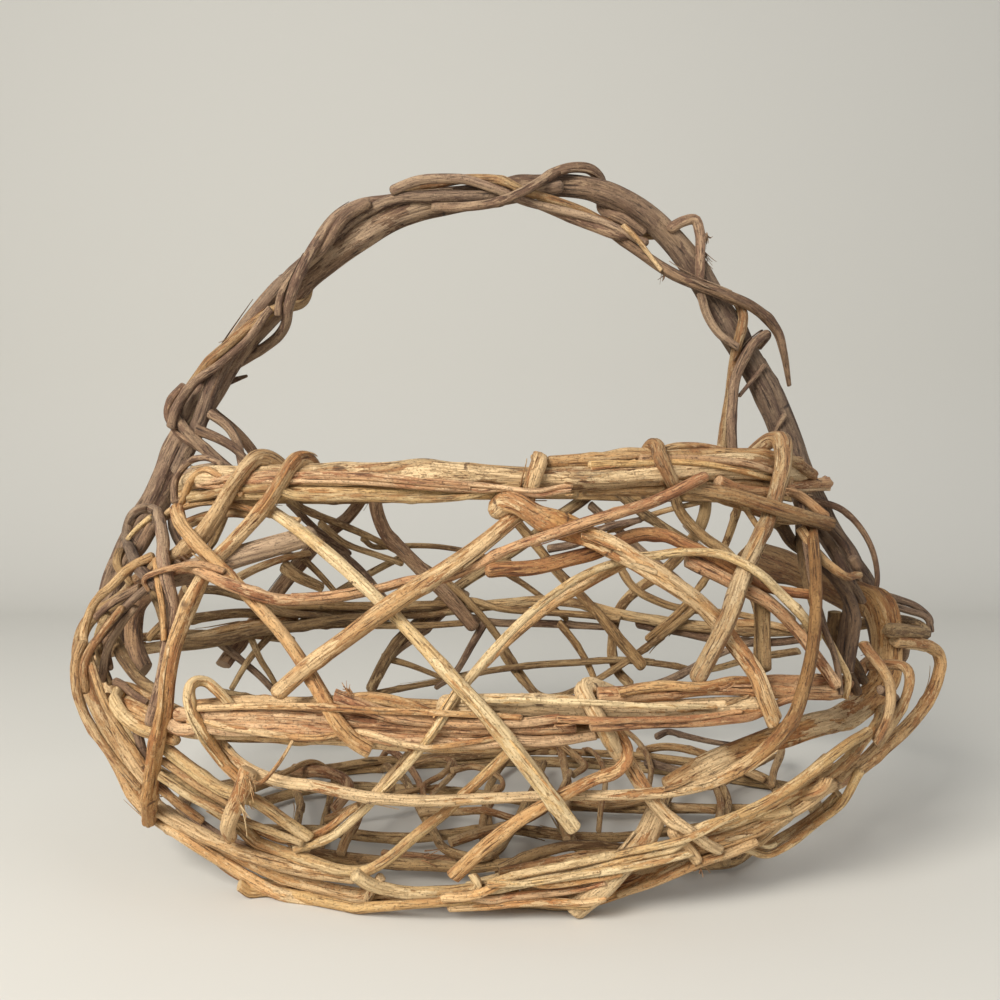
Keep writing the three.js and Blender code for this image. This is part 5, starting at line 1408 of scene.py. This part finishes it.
tufts = {
    "tuft_handle_1": (taupe, "middle", -1.0, (706, 236), 14, 4, (0.2, -1.0)),
    "tuft_handle_2": (taupe, "middle", -0.8, (703, 254), 12, 6, (0.6, -0.8)),
    "tuft_handle_4": (taupe, "middle", -1.3, (664, 274), 5, 4, (-0.2, -1.0)),
    "tuft_belly_1": (red, "front", 1.2, (350, 694), 16, 3, (-0.6, 0.7)),
    "tuft_belly_2": (red, "front", 1.0, (722, 690), 10, 4, (1.0, 0.1)),
    "tuft_belly_3": (red, "front", 1.2, (556, 727), 10, 5, (1.0, -0.1)),
    "tuft_wrap_1": (tan, "front", 1.9, (246, 780), 14, 8, (0.1, -1.0)),
    "tuft_wrap_2": (straw, "front", 1.9, (242, 802), 9, 7, (0.3, -0.9)),
    "tuft_rim_1": (red, "front", 1.2, (778, 490), 12, 5, (1.0, 0.1)),
    "tuft_rim_2": (tan, "front", 1.0, (788, 457), 10, 4, (-0.9, 0.4)),
    "tuft_rim_3": (taupe, "front", 0.8, (180, 499), 7, 4, (-1.0, -0.2)),
    "tuft_rim_4": (tan, "front", 1.0, (568, 494), 7, 3, (1.0, 0.1)),
    "tuft_low_1": (red, "front", 1.3, (701, 867), 10, 3, (0.5, -0.8)),
    "tuft_end_1": (taupe, "front", 0.6, (176, 556), 6, 6, (0.7, -0.7)),
    "tuft_floor_1": (red, "floor", 1.8, (424, 858), 10, 6, (1.0, 0.1)),
}
for name, tuft in tufts.items():
    add_tuft(name, *tuft)
print("tufts:", len(tufts), "triangles:", made_triangles)

# %% [markdown]
# ## Loose strips of bark
# Old vine sheds its bark in strips that stay fixed at one end and curl off at the other. A
# strip follows its vine at the radius and some angle, and its free end rises by the cube of
# the length gone. The stoutest vines keep their bark. The strips of each kind of bark are
# joined into one piece.

# %% Strips
strip_spacing = 42 * millimetre
strip_gap = 0.16 * millimetre
widest_shedding = 7.5 * millimetre
least_lift = 0.1 * millimetre
most_lift = 1.8 * millimetre
narrowest_strip = 0.4 * millimetre
widest_strip = 1.1 * millimetre
strip_flat_share = 0.3
strip_looks = ((0.75, -0.2, 0), (1.25, 0.9, 0.6))


def bark_strip(line, along, radii, random):
    """A thin flat skin that lies along a stretch of a vine and lifts at one end."""
    count = min(random.integers(8, 30), len(line) - 4)
    first = random.integers(2, len(line) - count)
    part = slice(first, first + count)
    forward, across, upright = (vectors[part] for vectors in frames_along(line))
    t = np.linspace(0, 1, count)[:, None]
    if random.random() < 0.5:
        t = t[::-1]
    angle = random.uniform(0, 2 * np.pi) + random.uniform(-0.5, 0.5) * t
    outward = np.cos(angle) * across + np.sin(angle) * upright
    lift = random.uniform(least_lift, most_lift) * t ** 3
    path = line[part] + outward * (radii[part][:, None] + strip_gap + lift)
    width = random.uniform(narrowest_strip, widest_strip) * (1 - 0.5 * t[:, 0] ** 2)
    frames = (forward, unit(np.cross(outward, forward)), outward)
    look = random.uniform(*strip_looks)
    return vine_surface(path, along[part] - along[first], width, random, look, (), frames,
                        strip_flat_share)


random = np.random.default_rng(60)
strip_skins = {slot: [] for slot in bark_finishes}
for node, (line, along, radii) in dressed.items():
    if radii.max() < widest_shedding:
        for _ in range(int(along[-1] / strip_spacing)):
            strip_skins[slot_of[node]].append(bark_strip(line, along, radii, random))
for slot, skins in strip_skins.items():
    add_piece(f"strips_{slot}", skins, slot)
print("strips:", sum(map(len, strip_skins.values())), "triangles:", made_triangles)

# %% [markdown]
# ## Camera
# The camera stands in front of the basket at the height of the rim, less than half a metre
# away, and looks down by less than a degree. It is the eye that the pixels above are seen
# from.

# %% Camera
picture_size = 36
lens_length = 36
downward_degrees = 0.745
nearest_shown = 10 * millimetre
camera_data = bpy.data.cameras.new("view camera")
camera_data.sensor_width = picture_size
camera_data.lens = lens_length
camera_data.clip_start = nearest_shown
camera = bpy.data.objects.new("view camera", camera_data)
camera.location = np.array([0, -eye_distance, eye_height]) - basket_middle
camera.rotation_euler = (math.radians(90 - downward_degrees), 0, 0)
bpy.context.scene.collection.objects.link(camera)
bpy.context.scene.camera = camera
print("camera, mm:", [round(x / millimetre, 2) for x in camera.location])

# %% [markdown]
# ## Floor
# A pale floor curves up into a pale wall, as a sheet of paper does in a photographer's
# studio, so that no edge shows behind the basket.

# %% Floor
curve_radius = 0.35
half_width = 3.0
front_edge = -1.6
curve_start = 0.75
wall_height = 2.4


def floor_surface():
    """A sheet that runs flat, then up in a quarter circle to an upright wall."""
    turn = np.linspace(0, np.pi / 2, 24)
    wall = curve_start + curve_radius
    y = np.concatenate([[front_edge], curve_start + curve_radius * np.sin(turn), [wall]])
    z = np.concatenate([[0], curve_radius * (1 - np.cos(turn)), [wall_height]])
    x = np.array([-half_width, half_width])
    corners = np.stack([np.repeat(x, len(y)), np.tile(y, 2), np.tile(z, 2)], axis=1)
    i = np.arange(len(y) - 1)
    quads = np.stack([i, i + len(y), i + len(y) + 1, i + 1], axis=1)
    return corners, quads


floor_corners, floor_quads = floor_surface()
floor_mesh = make_mesh("floor", floor_corners, floor_quads, np.empty((0, 3), int), {})
floor_finish = Finish("pale floor")
floor_shader = floor_finish.node("ShaderNodeBsdfPrincipled", None, {
    "Base Color": colour(208, 206, 199), "Roughness": 0.9})
floor_finish.node("ShaderNodeOutputMaterial", None, {"Surface": floor_shader})
floor_mesh.materials.append(floor_finish.material)
floor = bpy.data.objects.new("floor", floor_mesh)
bpy.context.scene.collection.objects.link(floor)
floor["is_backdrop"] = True
print("floor quads:", len(floor_quads))

# %% [markdown]
# ## Light
# One soft lamp stands in front, above and to the left, as a window would, and a weaker and
# larger one fills in from the right. The world adds a little cool light from all around.

# %% Lamps
lamp_target = np.array([0, 0, 0.12])
window = {"place": (-0.75, -1.15, 0.95), "size": 0.7, "watts": 33, "tint": (1.0, 0.965, 0.91)}
fill = {"place": (1.2, -0.8, 0.7), "size": 1.2, "watts": 5, "tint": (0.95, 0.97, 1.0)}
room_tint = (0.95, 0.97, 1.0, 1)
room_strength = 0.4


def soft_lamp(name, place, size, watts, tint):
    """A square area lamp that faces the middle of the basket."""
    data = bpy.data.lights.new(name, "AREA")
    data.size = size
    data.energy = watts
    data.color = tint
    lamp = bpy.data.objects.new(name, data)
    lamp.location = place
    toward = lamp_target - np.array(place)
    flat = math.hypot(toward[0], toward[1])
    lamp.rotation_euler = (math.atan2(flat, -toward[2]), 0, math.atan2(-toward[0], toward[1]))
    bpy.context.scene.collection.objects.link(lamp)


soft_lamp("window", **window)
soft_lamp("fill", **fill)
world = bpy.data.worlds.new("room")
bpy.context.scene.world = world
world.use_nodes = True
world.node_tree.nodes["Background"].inputs["Color"].default_value = room_tint
world.node_tree.nodes["Background"].inputs["Strength"].default_value = room_strength
bpy.context.scene.view_settings.view_transform = "Standard"
print("lamps, watts:", window["watts"], fill["watts"])

# %% [markdown]
# ## Sizes
# The bark may stand out a little from the imported model, but the basket has to stay its
# size. So the box of the imported model and the box of what was made are written down side
# by side.

# %% Sizes
made_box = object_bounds()
for title, box in (("CAD", cad_box), ("made", made_box)):
    print(title, [[round(x / millimetre, 1) for x in corner] for corner in box])
